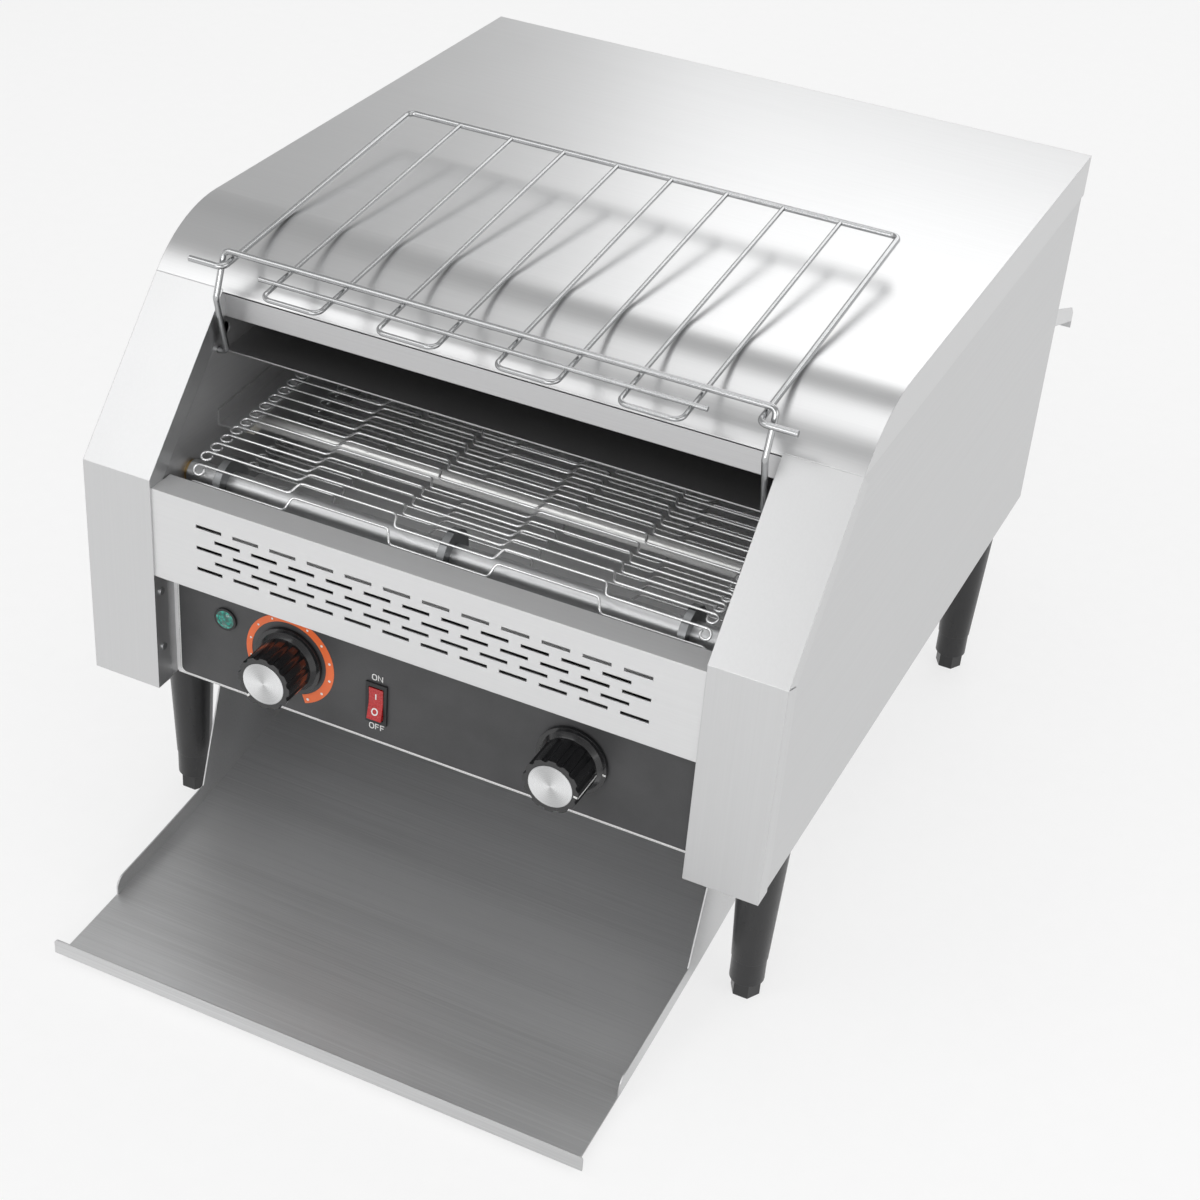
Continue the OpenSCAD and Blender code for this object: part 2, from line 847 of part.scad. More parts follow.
// One straight run of the belt: a flat net of wires
module belt_run() {
    linear_extrude(belt_wire) difference() {
        translate([-belt_w / 2, 0]) square([belt_w, belt_len]);
        for (i = [0:belt_columns - 1], k = [0:belt_rows - 1])
            translate([-belt_w / 2 + belt_wire + i * column_w, belt_wire + k * row_p])
                square([column_w - belt_wire, row_p - belt_wire]);
    }
}

// The belt's half turn round the front discs
module belt_turn() {
    reach = 2 * belt_out;
    difference() {
        bar_x(-belt_w / 2, belt_w / 2, belt_out);
        bar_x(-belt_w / 2 - over, belt_w / 2 + over, belt_in);
        block([-belt_w / 2 - over, 0, -reach], [belt_w / 2 + over, reach, reach]);
        for (i = [0:belt_columns - 1], k = [0:wrap_rows - 1]) {
            a0 = 90 + k * wrap_angle + wire_angle / 2;
            a1 = 90 + (k + 1) * wrap_angle - wire_angle / 2;
            x0 = -belt_w / 2 + belt_wire + i * column_w;
            across(x0, x0 + column_w - belt_wire) polygon([
                [0, 0],
                [reach * cos(a0), reach * sin(a0)],
                [reach * cos(a1), reach * sin(a1)]
            ]);
        }
    }
}

module conveyor_belt() color("#c2c3c4") {
    on_belt(0, belt_in) belt_run();
    on_belt(0, -belt_out) belt_run();
    on_belt() belt_turn();
    on_belt(belt_len) mirror([0, 1, 0]) belt_turn();
    for (u = [0, belt_len], w = [belt_in, -belt_out]) on_belt(u, w) block(
        [belt_key - belt_w / 2, -belt_key, belt_key],
        [belt_w / 2 - belt_key, belt_key, belt_wire - belt_key]);
}

module bearings() color("#b08d57") {
    for (row = [[0, journal_r], [belt_len, shaft_r]]) on_belt(row[0]) both_sides() difference() {
        union() {
            bar_x(wall_x - bush_in, wall_x + sheet_t, bush_r);
            bar_x(wall_x + sheet_t, wall_x + sheet_t + bush_flange_t, bush_flange_r);
        }
        bar_x(wall_x - bush_in - over, wall_x + sheet_t + bush_flange_t + over, row[1] + running);
    }
}

module front_roller() color("#d4d5d6") {
    tube = wall_x - bush_in - loose;
    end = wall_x + journal_len;
    on_belt() {
        bar_x(-tube, tube, roller_r);
        both_sides() bar_x(tube, end, journal_r);
    }
}

// Discs that carry the belt, with their bore on the shaft
module discs(bore_r) {
    for (x = [-disc_x, 0, disc_x]) difference() {
        bar_x(x - disc_w / 2, x + disc_w / 2, disc_r);
        bar_x(x - disc_w / 2 - over, x + disc_w / 2 + over, bore_r);
    }
}

module roller_discs() color("#54565a") on_belt() discs(roller_r);

module drive_shaft() color("#9a9b9d") {
    on_belt(belt_len) bar_x(-wall_x - journal_len, sprocket_x + sprocket_w + shaft_end, shaft_r);
}

module drive_discs() color("#54565a") on_belt(belt_len) discs(shaft_r);

// A chain wheel in the drive's plane
module sprocket(bore_r) {
    difference() {
        bar_x(sprocket_x, sprocket_x + sprocket_w, sprocket_r);
        bar_x(sprocket_x - over, sprocket_x + sprocket_w + over, bore_r);
        for (k = [0:tooth_count - 1]) rotate([k * 360 / tooth_count, 0, 0]) translate([0, sprocket_r, 0])
            bar_x(sprocket_x - over, sprocket_x + sprocket_w + over, tooth_gap_r);
    }
}

module shaft_sprocket() color("#6b6c6e") on_belt(belt_len) sprocket(shaft_r);

module motor_sprocket() color("#6b6c6e") {
    translate([0, motor_y, motor_z]) {
        sprocket(motor_shaft_r);
        bar_x(wall_x - bracket_t - gearbox_w / 2, sprocket_x + sprocket_w + shaft_end, motor_shaft_r);
    }
}

module drive_chain() color("#4a4b4d") {
    span = [drive_y - motor_y, drive_z - motor_z];
    inner = sprocket_r + loose;
    x0 = sprocket_x + (sprocket_w - chain_w) / 2;
    translate([0, motor_y, motor_z]) rotate([atan2(span[1], span[0]), 0, 0]) {
        for (w = [inner, -inner - chain_t])
            block([x0, 0, w], [x0 + chain_w, norm(span), w + chain_t]);
        difference() {
            bar_x(x0, x0 + chain_w, inner + chain_t);
            bar_x(x0 - over, x0 + chain_w + over, inner);
            block([x0 - over, 0, -2 * inner], [x0 + chain_w + over, 2 * inner, 2 * inner]);
        }
        translate([0, norm(span), 0]) difference() {
            bar_x(x0, x0 + chain_w, inner + chain_t);
            bar_x(x0 - over, x0 + chain_w + over, inner);
            block([x0 - over, -2 * inner, -2 * inner], [x0 + chain_w + over, 0, 2 * inner]);
        }
    }
}

module gear_motor() color("#7c7d80") {
    face = wall_x - bracket_t;
    translate([0, motor_y, motor_z]) difference() {
        union() {
            block([face - gearbox_w, -gearbox_size / 2, -gearbox_size / 2],
                [face, gearbox_size / 2, gearbox_size / 2]);
            bar_x(face - gearbox_w - motor_len, face - gearbox_w, motor_r);
        }
        bar_x(face - gearbox_w / 2 - loose, face + over, motor_shaft_r + running);
    }
}

module motor_bracket() color("#a4a5a7") {
    y0 = motor_y - bracket_size / 2;
    difference() {
        block([wall_x - bracket_t, y0, floor_z], [wall_x, y0 + bracket_size, floor_z + bracket_size]);
        translate([0, motor_y, motor_z]) bar_x(wall_x - bracket_t - over, wall_x + over, bracket_bore_r);
    }
    block([wall_x - bracket_t - bracket_foot, y0, floor_z],
        [wall_x - bracket_t, y0 + bracket_size, floor_z + bracket_t]);
}

// Puts children at the fan's centre with z along the air flow
module at_fan() {
    translate([fan_x, fan_y, floor_z + fan_size / 2]) rotate([-90, 0, 0]) children();
}

module fan_frame() color("#2b2c2e") at_fan() {
    difference() {
        translate([-fan_size / 2, -fan_size / 2, 0]) cube([fan_size, fan_size, fan_d]);
        translate([0, 0, -over]) cylinder(h = fan_d + 2 * over, r = fan_bore_r);
    }
    for (a = [0:120:240]) rotate([0, 0, a + fan_arm_turn])
        translate([fan_hub_r - over, -fan_arm_w / 2, loose])
            cube([fan_bore_r - fan_hub_r + 2 * over, fan_arm_w, fan_arm_t]);
    translate([0, 0, loose]) cylinder(h = fan_arm_t, r = fan_hub_r);
    translate([0, 0, loose]) cylinder(h = fan_d - fan_arm_t, r = fan_pin_r);
}

module fan_impeller() color("#1f2022") at_fan() {
    low = fan_arm_t + 2 * loose;
    high = fan_d - loose;
    difference() {
        union() {
            translate([0, 0, low]) cylinder(h = high - low, r = fan_hub_r);
            intersection() {
                translate([0, 0, low]) cylinder(h = high - low, r = fan_blade_r);
                for (k = [0:fan_blade_count - 1]) rotate([0, 0, k * 360 / fan_blade_count])
                    translate([fan_hub_r - over, 0, (low + high) / 2]) rotate([fan_blade_tilt, 0, 0])
                    translate([0, -fan_hub_r, -fan_blade_t / 2])
                    cube([fan_blade_r, 2 * fan_hub_r, fan_blade_t]);
            }
        }
        translate([0, 0, low - over]) cylinder(h = fan_d, r = fan_pin_r + running);
    }
}

module terminal_block() color("#e6e6e2") {
    p = terminal_size[0] / terminal_count;
    translate([terminal_x, terminal_y, floor_z]) difference() {
        cube(terminal_size);
        for (k = [0:terminal_count - 1])
            translate([(k + 0.5) * p, terminal_size[1] / 2, terminal_size[2] / 2])
                cylinder(h = terminal_size[2], r = terminal_bore_r);
    }
}

// The part of a control that reaches through the panel, with the spindle's bearing
module control_bush() {
    translate([0, 0, -sheet_t - overlay_t - over]) cylinder(h = sheet_t + overlay_t + over, r = bush_out_r);
}

module spindle_bore() {
    translate([0, 0, -sheet_t - overlay_t - spindle_in - loose])
        cylinder(h = sheet_t + overlay_t + spindle_in + loose + over, r = spindle_r + running);
}

module speed_controller() color("#77787a") on_panel(-knob_x, knob_rise) difference() {
    union() {
        translate([0, 0, -sheet_t - overlay_t - body_depth]) cylinder(h = body_depth, r = controller_r);
        control_bush();
    }
    spindle_bore();
}

module selector_switch() color("#d8d4c8") on_panel(knob_x, knob_rise) difference() {
    union() {
        translate([-selector_size / 2, -selector_size / 2, -sheet_t - overlay_t - body_depth])
            cube([selector_size, selector_size, body_depth]);
        control_bush();
    }
    spindle_bore();
}

module spindle() {
    low = -sheet_t - overlay_t - spindle_in;
    translate([0, 0, low]) cylinder(h = knob_gap + spindle_reach - low, r = spindle_r);
}

// A scalloped knob with a skirt, a recess for its cap and a blind bore for its spindle
module knob() translate([0, 0, knob_gap]) difference() {
    union() {
        cylinder(h = skirt_t, r = skirt_r);
        translate([0, 0, skirt_t]) cylinder(h = collar_h, r1 = skirt_r - skirt_t, r2 = knob_r);
        difference() {
            cylinder(h = knob_len - knob_gap, r = knob_r);
            for (k = [0:lobe_count - 1]) rotate([0, 0, (k + 0.5) * 360 / lobe_count])
                translate([lobe_ring, 0, skirt_t + collar_h]) cylinder(h = knob_len, r = lobe_r);
        }
    }
    translate([0, 0, knob_len - knob_gap - cap_depth]) cylinder(h = cap_depth + over, r = cap_r);
    translate([0, 0, -over]) cylinder(h = spindle_reach + over, r = spindle_r);
}

module knob_cap() {
    translate([0, 0, knob_len - cap_depth]) cylinder(h = cap_depth + cap_proud, r = cap_r);
}

module speed_spindle() color("#8d8e90") on_panel(-knob_x, knob_rise) spindle();
module speed_knob() color("#17181a") on_panel(-knob_x, knob_rise) knob();
module speed_knob_cap() color("#e8e9ea") on_panel(-knob_x, knob_rise) knob_cap();
module selector_spindle() color("#8d8e90") on_panel(knob_x, knob_rise) spindle();
module selector_knob() color("#17181a") on_panel(knob_x, knob_rise) knob();
module selector_knob_cap() color("#e8e9ea") on_panel(knob_x, knob_rise) knob_cap();

module lamp_bezel() color("#1b1c1e") on_panel(-lamp_x, lamp_rise) difference() {
    cylinder(h = lamp_bezel_t, r = lamp_bezel_r);
    translate([0, 0, -over]) cylinder(h = lamp_bezel_t + 2 * over, r = lamp_r);
}

module indicator_lamp() color("#1f8f7a") on_panel(-lamp_x, lamp_rise) {
    translate([0, 0, -lamp_depth]) cylinder(h = lamp_depth + lamp_bezel_t, r = lamp_r);
    intersection() {
        translate([0, 0, lamp_proud - lamp_dome_r]) sphere(lamp_dome_r);
        cylinder(h = lamp_proud, r = lamp_r);
    }
}

module switch_housing() color("#1d1e20") on_panel(-switch_x, switch_rise) {
    difference() {
        union() {
            translate([-bezel_w / 2, -bezel_h / 2, 0]) cube([bezel_w, bezel_h, bezel_t]);
            translate([-housing_w / 2, -housing_h / 2, -housing_d]) cube([housing_w, housing_h, housing_d]);
        }
        translate([-rocker_w / 2 - cavity_gap, -cavity_h / 2, -cavity_depth])
            cube([rocker_w + 2 * cavity_gap, cavity_h, cavity_depth + bezel_t + over]);
        pin_end = rocker_w / 2 + rocker_pin_len + cavity_gap;
        bar_x(-pin_end, pin_end, rocker_pin_r + running);
    }
}

// The rocker rests with its upper half pressed in
module power_rocker() color("#c22128") on_panel(-switch_x, switch_rise) rotate([-rocker_tilt, 0, 0]) {
    h = rocker_h / 2;
    across(-rocker_w / 2, rocker_w / 2) polygon([
        [-h, rocker_front],
        [0, rocker_front - rocker_dip],
        [h, rocker_front],
        [h - rocker_dip / 2, -rocker_back],
        [-h + rocker_dip / 2, -rocker_back]
    ]);
    bar_x(-rocker_w / 2 - rocker_pin_len, rocker_w / 2 + rocker_pin_len, rocker_pin_r);
}

// Side flange of the tray: low and rounded in front, raised to the runners under the casing
module tray_side_outline() {
    front = lip_y + flange_end;
    step_y = front_y + hanger_start;
    rear = lip_y + tray_len;
    end_arc = [for (a = [0:15:90]) [
        front + flange_end_r * (1 - cos(a)),
        tray_z(front + flange_end_r) + flange_h - flange_end_r * (1 - sin(a))
    ]];
    low = [for (i = [tray_steps:-1:0]) let (y = front + (rear - front) * i / tray_steps) [y, tray_z(y)]];
    from = front + flange_end_r;
    top = [for (i = [1:tray_steps / 4]) let (y = from + (step_y - from) * i * 4 / tray_steps)
        [y, tray_z(y) + flange_h]];
    polygon(concat(end_arc, top, [
        [step_y + hanger_ramp, hanger_z],
        [rear, hanger_z]
    ], low));
}

module tray() color("#b5b6b7") {
    rear = lip_y + tray_len;
    step_y = front_y + hanger_start;
    floor_path = [for (i = [0:tray_steps]) let (y = lip_y + tray_len * i / tray_steps) [y, tray_z(y)]];
    across(-tray_half, tray_half) polygon(strip(floor_path, -sheet_t));
    both_sides() {
        across(tray_half - sheet_t, tray_half) tray_side_outline();
        block([tray_half - hanger_w, step_y + hanger_ramp, hanger_z - sheet_t], [tray_half, rear, hanger_z]);
    }
    half = tray_half + lip_over;
    low = tray_clear;
    high = tray_clear + lip_h;
    translate([0, lip_y + sheet_t, 0]) rotate([90, 0, 0]) linear_extrude(sheet_t) {
        translate([-half, low]) square([2 * half, lip_h - lip_corner_r]);
        translate([-half + lip_corner_r, low]) square([2 * (half - lip_corner_r), lip_h]);
        for (x = [-half + lip_corner_r, half - lip_corner_r])
            translate([x, high - lip_corner_r]) circle(lip_corner_r);
    }
}

// Angle rails under the casing that the tray's hangers slide on
module tray_runners() color("#9b9c9e") {
    web_x = tray_half - hanger_w - loose - runner_t;
    low = hanger_z - sheet_t - loose - runner_t;
    y0 = front_y + hanger_start + hanger_ramp;
    y1 = back_y - return_d;
    both_sides() {
        block([web_x, y0, low], [web_x + runner_t, y1, clear_h]);
        block([web_x + runner_t, y0, low], [tray_half - sheet_t - loose, y1, low + runner_t]);
    }
}

// Loose wire rack: a frame with two stubs, rods joined in pairs in front, and a cross wire
module rack() color("#c6c7c8") {
    fr = frame_wire / 2;
    rr = rod_wire / 2;
    rear_y = bar_y + rack_len;
    rear_z = rack_level(rear_y);
    front_y0 = bar_y - rack_front;
    p = 2 * rack_half / (rod_count + 1);
    wire([
        [-stub_x, stub_y, rack_level(stub_y)],
        [-rack_half, stub_y, rack_level(stub_y)],
        [-rack_half, rear_y, rear_z],
        [rack_half, rear_y, rear_z],
        [rack_half, stub_y, rack_level(stub_y)],
        [stub_x, stub_y, rack_level(stub_y)]
    ], fr, frame_bend);
    for (i = [0:2:rod_count - 2]) {
        xa = -rack_half + (i + 1) * p;
        wire([
            [xa, rear_y, rear_z],
            [xa, front_y0, rack_level(front_y0)],
            [xa + p, front_y0, rack_level(front_y0)],
            [xa + p, rear_y, rear_z]
        ], rr, rod_bend);
    }
    cross_x = rack_half - p + cross_over;
    cross_y = bar_y - cross_set;
    translate([0, cross_y, rack_level(cross_y) + rod_wire - weld_in]) bar_x(-cross_x, cross_x, rr);
}

module rack_bail() color("#c6c7c8") {
    r = frame_wire / 2;
    wire([
        [-wall_x - pin_reach, bar_y, bail_pin_z],
        [-bail_half, bar_y, bail_pin_z],
        [-bail_half, bar_y + bail_kink[0], bail_pin_z + bail_kink[1]],
        [-bail_half, bar_y, bar_z],
        [bail_half, bar_y, bar_z],
        [bail_half, bar_y + bail_kink[0], bail_pin_z + bail_kink[1]],
        [bail_half, bar_y, bail_pin_z],
        [wall_x + pin_reach, bar_y, bail_pin_z]
    ], r, bail_bend);
}

module cable_gland() color("#202124") {
    translate([gland_x, back_y - sheet_t, clear_h + gland_rise]) rotate([-90, 0, 0]) difference() {
        union() {
            cylinder(h = gland_nut_h, r = gland_r, $fn = 6);
            translate([0, 0, -2 * sheet_t]) cylinder(h = gland_len, r = gland_hole_r);
        }
        translate([0, 0, -2 * sheet_t - over]) cylinder(h = gland_len + 2 * over, r = gland_bore_r);
    }
}

// One tapered leg with a flange on top, a ring below and a blind bore for the screwed foot
module leg() {
    difference() {
        rotate_extrude() polygon([
            [0, foot_h],
            [leg_ring_r, foot_h],
            [leg_ring_r, leg_ring_z],
            [leg_low_r, leg_ring_z],
            [leg_top_r, clear_h - leg_flange_t],
            [leg_top_r + leg_flange_grow, clear_h - leg_flange_t],
            [leg_top_r + leg_flange_grow, clear_h],
            [0, clear_h]
        ]);
        translate([0, 0, foot_h - over])
            cylinder(h = foot_stem_len + stem_top_gap + over, r = foot_stem_r + running);
    }
}

module legs() color("#2a2b2d") {
    for (x = [-leg_x, leg_x], y = [leg_front_y, leg_rear_y]) translate([x, y, 0]) leg();
}

// Hexagonal foot with its stem
module foot() color("#1f2022") {
    cylinder(h = foot_h - running, r = foot_r, $fn = 6);
    cylinder(h = foot_h + foot_stem_len, r = foot_stem_r);
}

module front_left_foot() translate([-leg_x, leg_front_y, 0]) foot();
module front_right_foot() translate([leg_x, leg_front_y, 0]) foot();
module rear_left_foot() translate([-leg_x, leg_rear_y, 0]) foot();
module rear_right_foot() translate([leg_x, leg_rear_y, 0]) foot();

// Screws on the back panel and rivets on the corner covers' inner returns
module fasteners() color("#8b8c8e") {
    for (x = [-half_w + return_d, 0, half_w - return_d], z = [clear_h + return_d, eave_z - return_d])
        translate([x, back_y - sheet_t, z]) rotate([-90, 0, 0]) cylinder(h = screw_h, r = screw_r);
    both_sides() for (z = [bend_z - 6 * return_d, bend_z - 9 * return_d])
        translate([0, front_y + return_d / 2, z]) bar_x(inner_x - rivet_h, inner_x, rivet_r);
}

top_cover();
left_side_panel();
right_side_panel();
left_corner_cover();
right_corner_cover();
lintel();
slotted_panel();
control_panel();
control_overlay();
speed_scale();
base_plate();
back_panel();
rear_deflector();
left_inner_wall();
right_inner_wall();
inner_deck();
upper_reflector();
toast_slide();
upper_heaters();
lower_heaters();
heater_holders();
belt_rails();
conveyor_belt();
bearings();
front_roller();
roller_discs();
drive_shaft();
drive_discs();
shaft_sprocket();
motor_sprocket();
drive_chain();
gear_motor();
motor_bracket();
fan_frame();
fan_impeller();
terminal_block();
speed_controller();
selector_switch();
lamp_bezel();
indicator_lamp();
switch_housing();
power_rocker();
speed_spindle();
speed_knob();
speed_knob_cap();
selector_spindle();
selector_knob();
selector_knob_cap();
tray();
tray_runners();
rack();
rack_bail();
cable_gland();
legs();
front_left_foot();
front_right_foot();
rear_left_foot();
rear_right_foot();
fasteners();
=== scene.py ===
import math
import bpy
from mathutils import Matrix, Vector


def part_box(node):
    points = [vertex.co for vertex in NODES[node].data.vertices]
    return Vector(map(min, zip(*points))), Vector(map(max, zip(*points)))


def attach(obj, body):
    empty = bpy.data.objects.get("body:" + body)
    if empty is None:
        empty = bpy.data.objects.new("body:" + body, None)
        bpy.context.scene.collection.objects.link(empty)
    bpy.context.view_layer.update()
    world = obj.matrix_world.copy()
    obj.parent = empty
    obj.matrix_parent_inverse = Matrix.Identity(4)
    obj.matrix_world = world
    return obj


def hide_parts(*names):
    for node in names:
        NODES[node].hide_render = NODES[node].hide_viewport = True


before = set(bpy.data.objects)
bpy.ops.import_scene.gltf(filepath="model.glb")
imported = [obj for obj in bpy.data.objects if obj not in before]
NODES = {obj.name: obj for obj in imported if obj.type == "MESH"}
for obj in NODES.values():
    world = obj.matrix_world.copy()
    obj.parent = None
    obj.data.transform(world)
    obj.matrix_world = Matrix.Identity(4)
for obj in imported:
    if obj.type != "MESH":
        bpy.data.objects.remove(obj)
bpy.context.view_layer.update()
MM = 0.001


def middle(node):
    """Middle of a CAD node's box, in millimetres."""
    low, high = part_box(node)
    return (low + high) / (2 * MM)


def extent(node):
    """Lowest and highest corner of a CAD node's box, in millimetres."""
    low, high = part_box(node)
    return low / MM, high / MM


def width(node):
    """Size of a CAD node along X, in millimetres."""
    low, high = extent(node)
    return high.x - low.x


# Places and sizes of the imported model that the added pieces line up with, in millimetres
OVERLAY_LOW, OVERLAY_HIGH = extent("control_overlay")
OVERLAY_Y = OVERLAY_LOW.y
SCALE_Y = extent("speed_scale")[0].y
SCALE_R = width("speed_scale") / 2
SPEED = middle("speed_knob")
SELECTOR = middle("selector_knob")
KNOB_LOW, KNOB_HIGH = extent("speed_knob")
KNOB_FRONT = OVERLAY_Y - KNOB_LOW.y
KNOB_BACK = OVERLAY_Y - KNOB_HIGH.y
SKIRT_R = width("speed_knob") / 2
CAP_R = width("speed_knob_cap") / 2
SWITCH = middle("switch_housing")
BEZEL_LOW, BEZEL_HIGH = extent("switch_housing")
ROLLER = middle("front_roller")
DRIVE = middle("drive_discs")
DISC_LOW, DISC_HIGH = extent("roller_discs")
BELT_W = width("conveyor_belt")
BELT_LEN = math.hypot(DRIVE.y - ROLLER.y, DRIVE.z - ROLLER.z)
BELT_TILT = math.atan2(DRIVE.z - ROLLER.z, DRIVE.y - ROLLER.y)

# The same sizes as in the CAD source, where no node's box gives them
GRIP_R = 18.5
SKIRT_T = 2.5
ROCKER_TILT = math.radians(7)


# ---------------------------------------------------------------- materials

# Noise scales, in periods per metre: pairs are along the grain and across it
BRUSH_LINES = (30, 4200)
BRUSH_STREAKS = (5, 900)
# The widest pair paints reflection into a sheet's colour as soft stripes across the grain
REFLECTION_BANDS = (1.3, 15)
GLOSS_SMEARS = 11
METAL_CLOUDS = 23
PLASTIC_CLOUDS = 31
CAP_RINGS = 95
LENS_FACETS = 420
# Share of the smears beside the brushing lines, and how far they move the roughness
SMEAR_SHARE = 0.375
ROUGH_SWING = 0.04
# Fans of sheen painted into a turned cap's colour: their number, their turn in radians,
# their share beside the rings, and the darkest painted shade as a share of the colour
FAN_COUNT = 2.0
FAN_TURN = 0.9
FAN_SHARE = 0.5
FAN_DARK = 0.62
# Most values of a noise lie between these two
NOISE_LOW, NOISE_HIGH = 0.3, 0.7
# Radius of an edge in the shading, in metres
SHEET_EDGE = 0.0006
MOULDED_EDGE = 0.0004
CUT_EDGE = 0.0003


def new_material(name):
    """A material, its node tree and its Principled shader."""
    mat = bpy.data.materials.new(name)
    mat.use_nodes = True
    tree = mat.node_tree
    return mat, tree, tree.nodes["Principled BSDF"]


def feed(tree, socket, value):
    """Links an input from an output, or sets it to a plain value."""
    if isinstance(value, bpy.types.NodeSocket):
        tree.links.new(value, socket)
    else:
        socket.default_value = value


def feed_all(tree, node, inputs):
    """Feeds a node's inputs by name."""
    for name, value in inputs.items():
        feed(tree, node.inputs[name], value)


def add(tree, kind, *inputs, **settings):
    """A new node with its settings, and with its first inputs fed in their order."""
    node = tree.nodes.new(kind)
    for key, value in settings.items():
        setattr(node, key, value)
    for socket, value in zip(node.inputs, inputs):
        feed(tree, socket, value)
    return node


def calc(tree, operation, *values, clamp=False):
    """Result of a Math node."""
    return add(tree, "ShaderNodeMath", *values, operation=operation, use_clamp=clamp).outputs[0]


def vector_calc(tree, operation, *values):
    """Result of a Vector Math node that gives a vector."""
    return add(tree, "ShaderNodeVectorMath", *values, operation=operation).outputs["Vector"]


def ramp(tree, source, low, high, from_min=0.0, from_max=1.0):
    """Maps a range of the source to low and high, and holds it there beyond."""
    node = add(tree, "ShaderNodeMapRange")
    feed_all(tree, node, {"Value": source, "From Min": from_min, "From Max": from_max,
                          "To Min": low, "To Max": high})
    return node.outputs["Result"]


def noise(tree, scale, detail=3.0, vector=None):
    """Noise over the object's own coordinates, with one scale or one per axis."""
    if vector is None:
        vector = add(tree, "ShaderNodeTexCoord").outputs["Object"]
    mapping = add(tree, "ShaderNodeMapping")
    scales = scale if isinstance(scale, tuple) else (scale, scale, scale)
    feed_all(tree, mapping, {"Vector": vector, "Scale": scales})
    texture = add(tree, "ShaderNodeTexNoise")
    feed_all(tree, texture, {"Vector": mapping.outputs["Vector"], "Scale": 1.0, "Detail": detail})
    return texture.outputs["Fac"]


def mix_colour(tree, factor, low, high):
    """Colour between two tones."""
    node = add(tree, "ShaderNodeMix", data_type="RGBA")
    feed_all(tree, node, {"Factor": factor, "A": (*low, 1), "B": (*high, 1)})
    return node.outputs["Result"]


def varied(tree, factor, colour, spread):
    """A colour that varies by a share either way."""
    low = tuple(c * (1 - spread) for c in colour)
    high = tuple(min(1.0, c * (1 + spread)) for c in colour)
    return mix_colour(tree, factor, low, high)


def varied_rough(tree, factor, rough):
    """A roughness that varies by a fifth either way."""
    return ramp(tree, factor, rough * 0.8, rough * 1.2, NOISE_LOW, NOISE_HIGH)


def bevelled(tree, edge, height, depth, strength):
    """Normal with sharp edges rounded in the shading and a bump, its depth in metres."""
    bevel = add(tree, "ShaderNodeBevel", samples=4)
    bevel.inputs["Radius"].default_value = edge
    bump = add(tree, "ShaderNodeBump")
    feed_all(tree, bump, {"Height": height, "Distance": depth, "Strength": strength,
                          "Normal": bevel.outputs["Normal"]})
    return bump.outputs["Normal"]


def along(grain, on_axis, off_axis):
    """One value for the axis of the grain and another for the two across it."""
    return tuple(on_axis if axis == grain else off_axis for axis in "xyz")


def brushed(name, grain, colour, rough, spread=0.03, bump=0.05, anisotropy=0.35, metallic=1.0,
            painted_reflection=0.0):
    """Brushed sheet: very fine lines along one axis over faint streaks, smeared in the gloss."""
    mat, tree, shader = new_material(name)
    lines = noise(tree, along(grain, *BRUSH_LINES))
    streaks = noise(tree, along(grain, *BRUSH_STREAKS), 2.0)
    smears = noise(tree, GLOSS_SMEARS)
    tone = ramp(tree, calc(tree, "ADD", lines, streaks), 0, 1, 2 * NOISE_LOW, 2 * NOISE_HIGH)
    if painted_reflection:
        # Painted reflection: wide soft light and dark stripes across the grain, painted into the
        # colour
        reflection_sway = noise(tree, along(grain, *REFLECTION_BANDS), 1.0)
        tone = calc(tree, "ADD", tone, ramp(tree, reflection_sway, -painted_reflection, painted_reflection, 0.35, 0.65), clamp=True)
    gloss = calc(tree, "MULTIPLY_ADD", smears, SMEAR_SHARE, lines)
    feed_all(tree, shader, {
        "Base Color": varied(tree, tone, colour, spread),
        "Roughness": ramp(tree, gloss, rough - ROUGH_SWING, rough + ROUGH_SWING, 0.4, 1.2),
        "Metallic": metallic,
        "Anisotropic": anisotropy,
        "Tangent": add(tree, "ShaderNodeCombineXYZ", *along(grain, 1.0, 0.0)).outputs[0],
        "Normal": bevelled(tree, SHEET_EDGE, lines, depth=0.00001, strength=bump),
    })
    return mat


def metal(name, colour, rough, bump=0.15, spread=0.12, skin=420, metallic=1.0):
    """Plain metal with faint clouds in its colour and a fine skin in its gloss."""
    mat, tree, shader = new_material(name)
    fine = noise(tree, skin, 4.0)
    clouds = ramp(tree, noise(tree, METAL_CLOUDS), 0, 1, NOISE_LOW, NOISE_HIGH)
    feed_all(tree, shader, {
        "Base Color": varied(tree, clouds, colour, spread),
        "Roughness": varied_rough(tree, fine, rough),
        "Metallic": metallic,
        "Normal": bevelled(tree, CUT_EDGE, fine, depth=0.00002, strength=bump),
    })
    return mat


def plastic(name, colour, rough, depth=0.00003, skin=900, coat=0.0, spread=0.15):
    """Moulded plastic, paint or print with a fine skin texture."""
    mat, tree, shader = new_material(name)
    fine = noise(tree, skin)
    clouds = ramp(tree, noise(tree, PLASTIC_CLOUDS, 4.0), 0, 1, NOISE_LOW, NOISE_HIGH)
    feed_all(tree, shader, {
        "Base Color": varied(tree, clouds, colour, spread),
        "Roughness": varied_rough(tree, fine, rough),
        "Coat Weight": coat,
        "Coat Roughness": 0.08,
        "Normal": bevelled(tree, MOULDED_EDGE, fine, depth, strength=0.4),
    })
    return mat


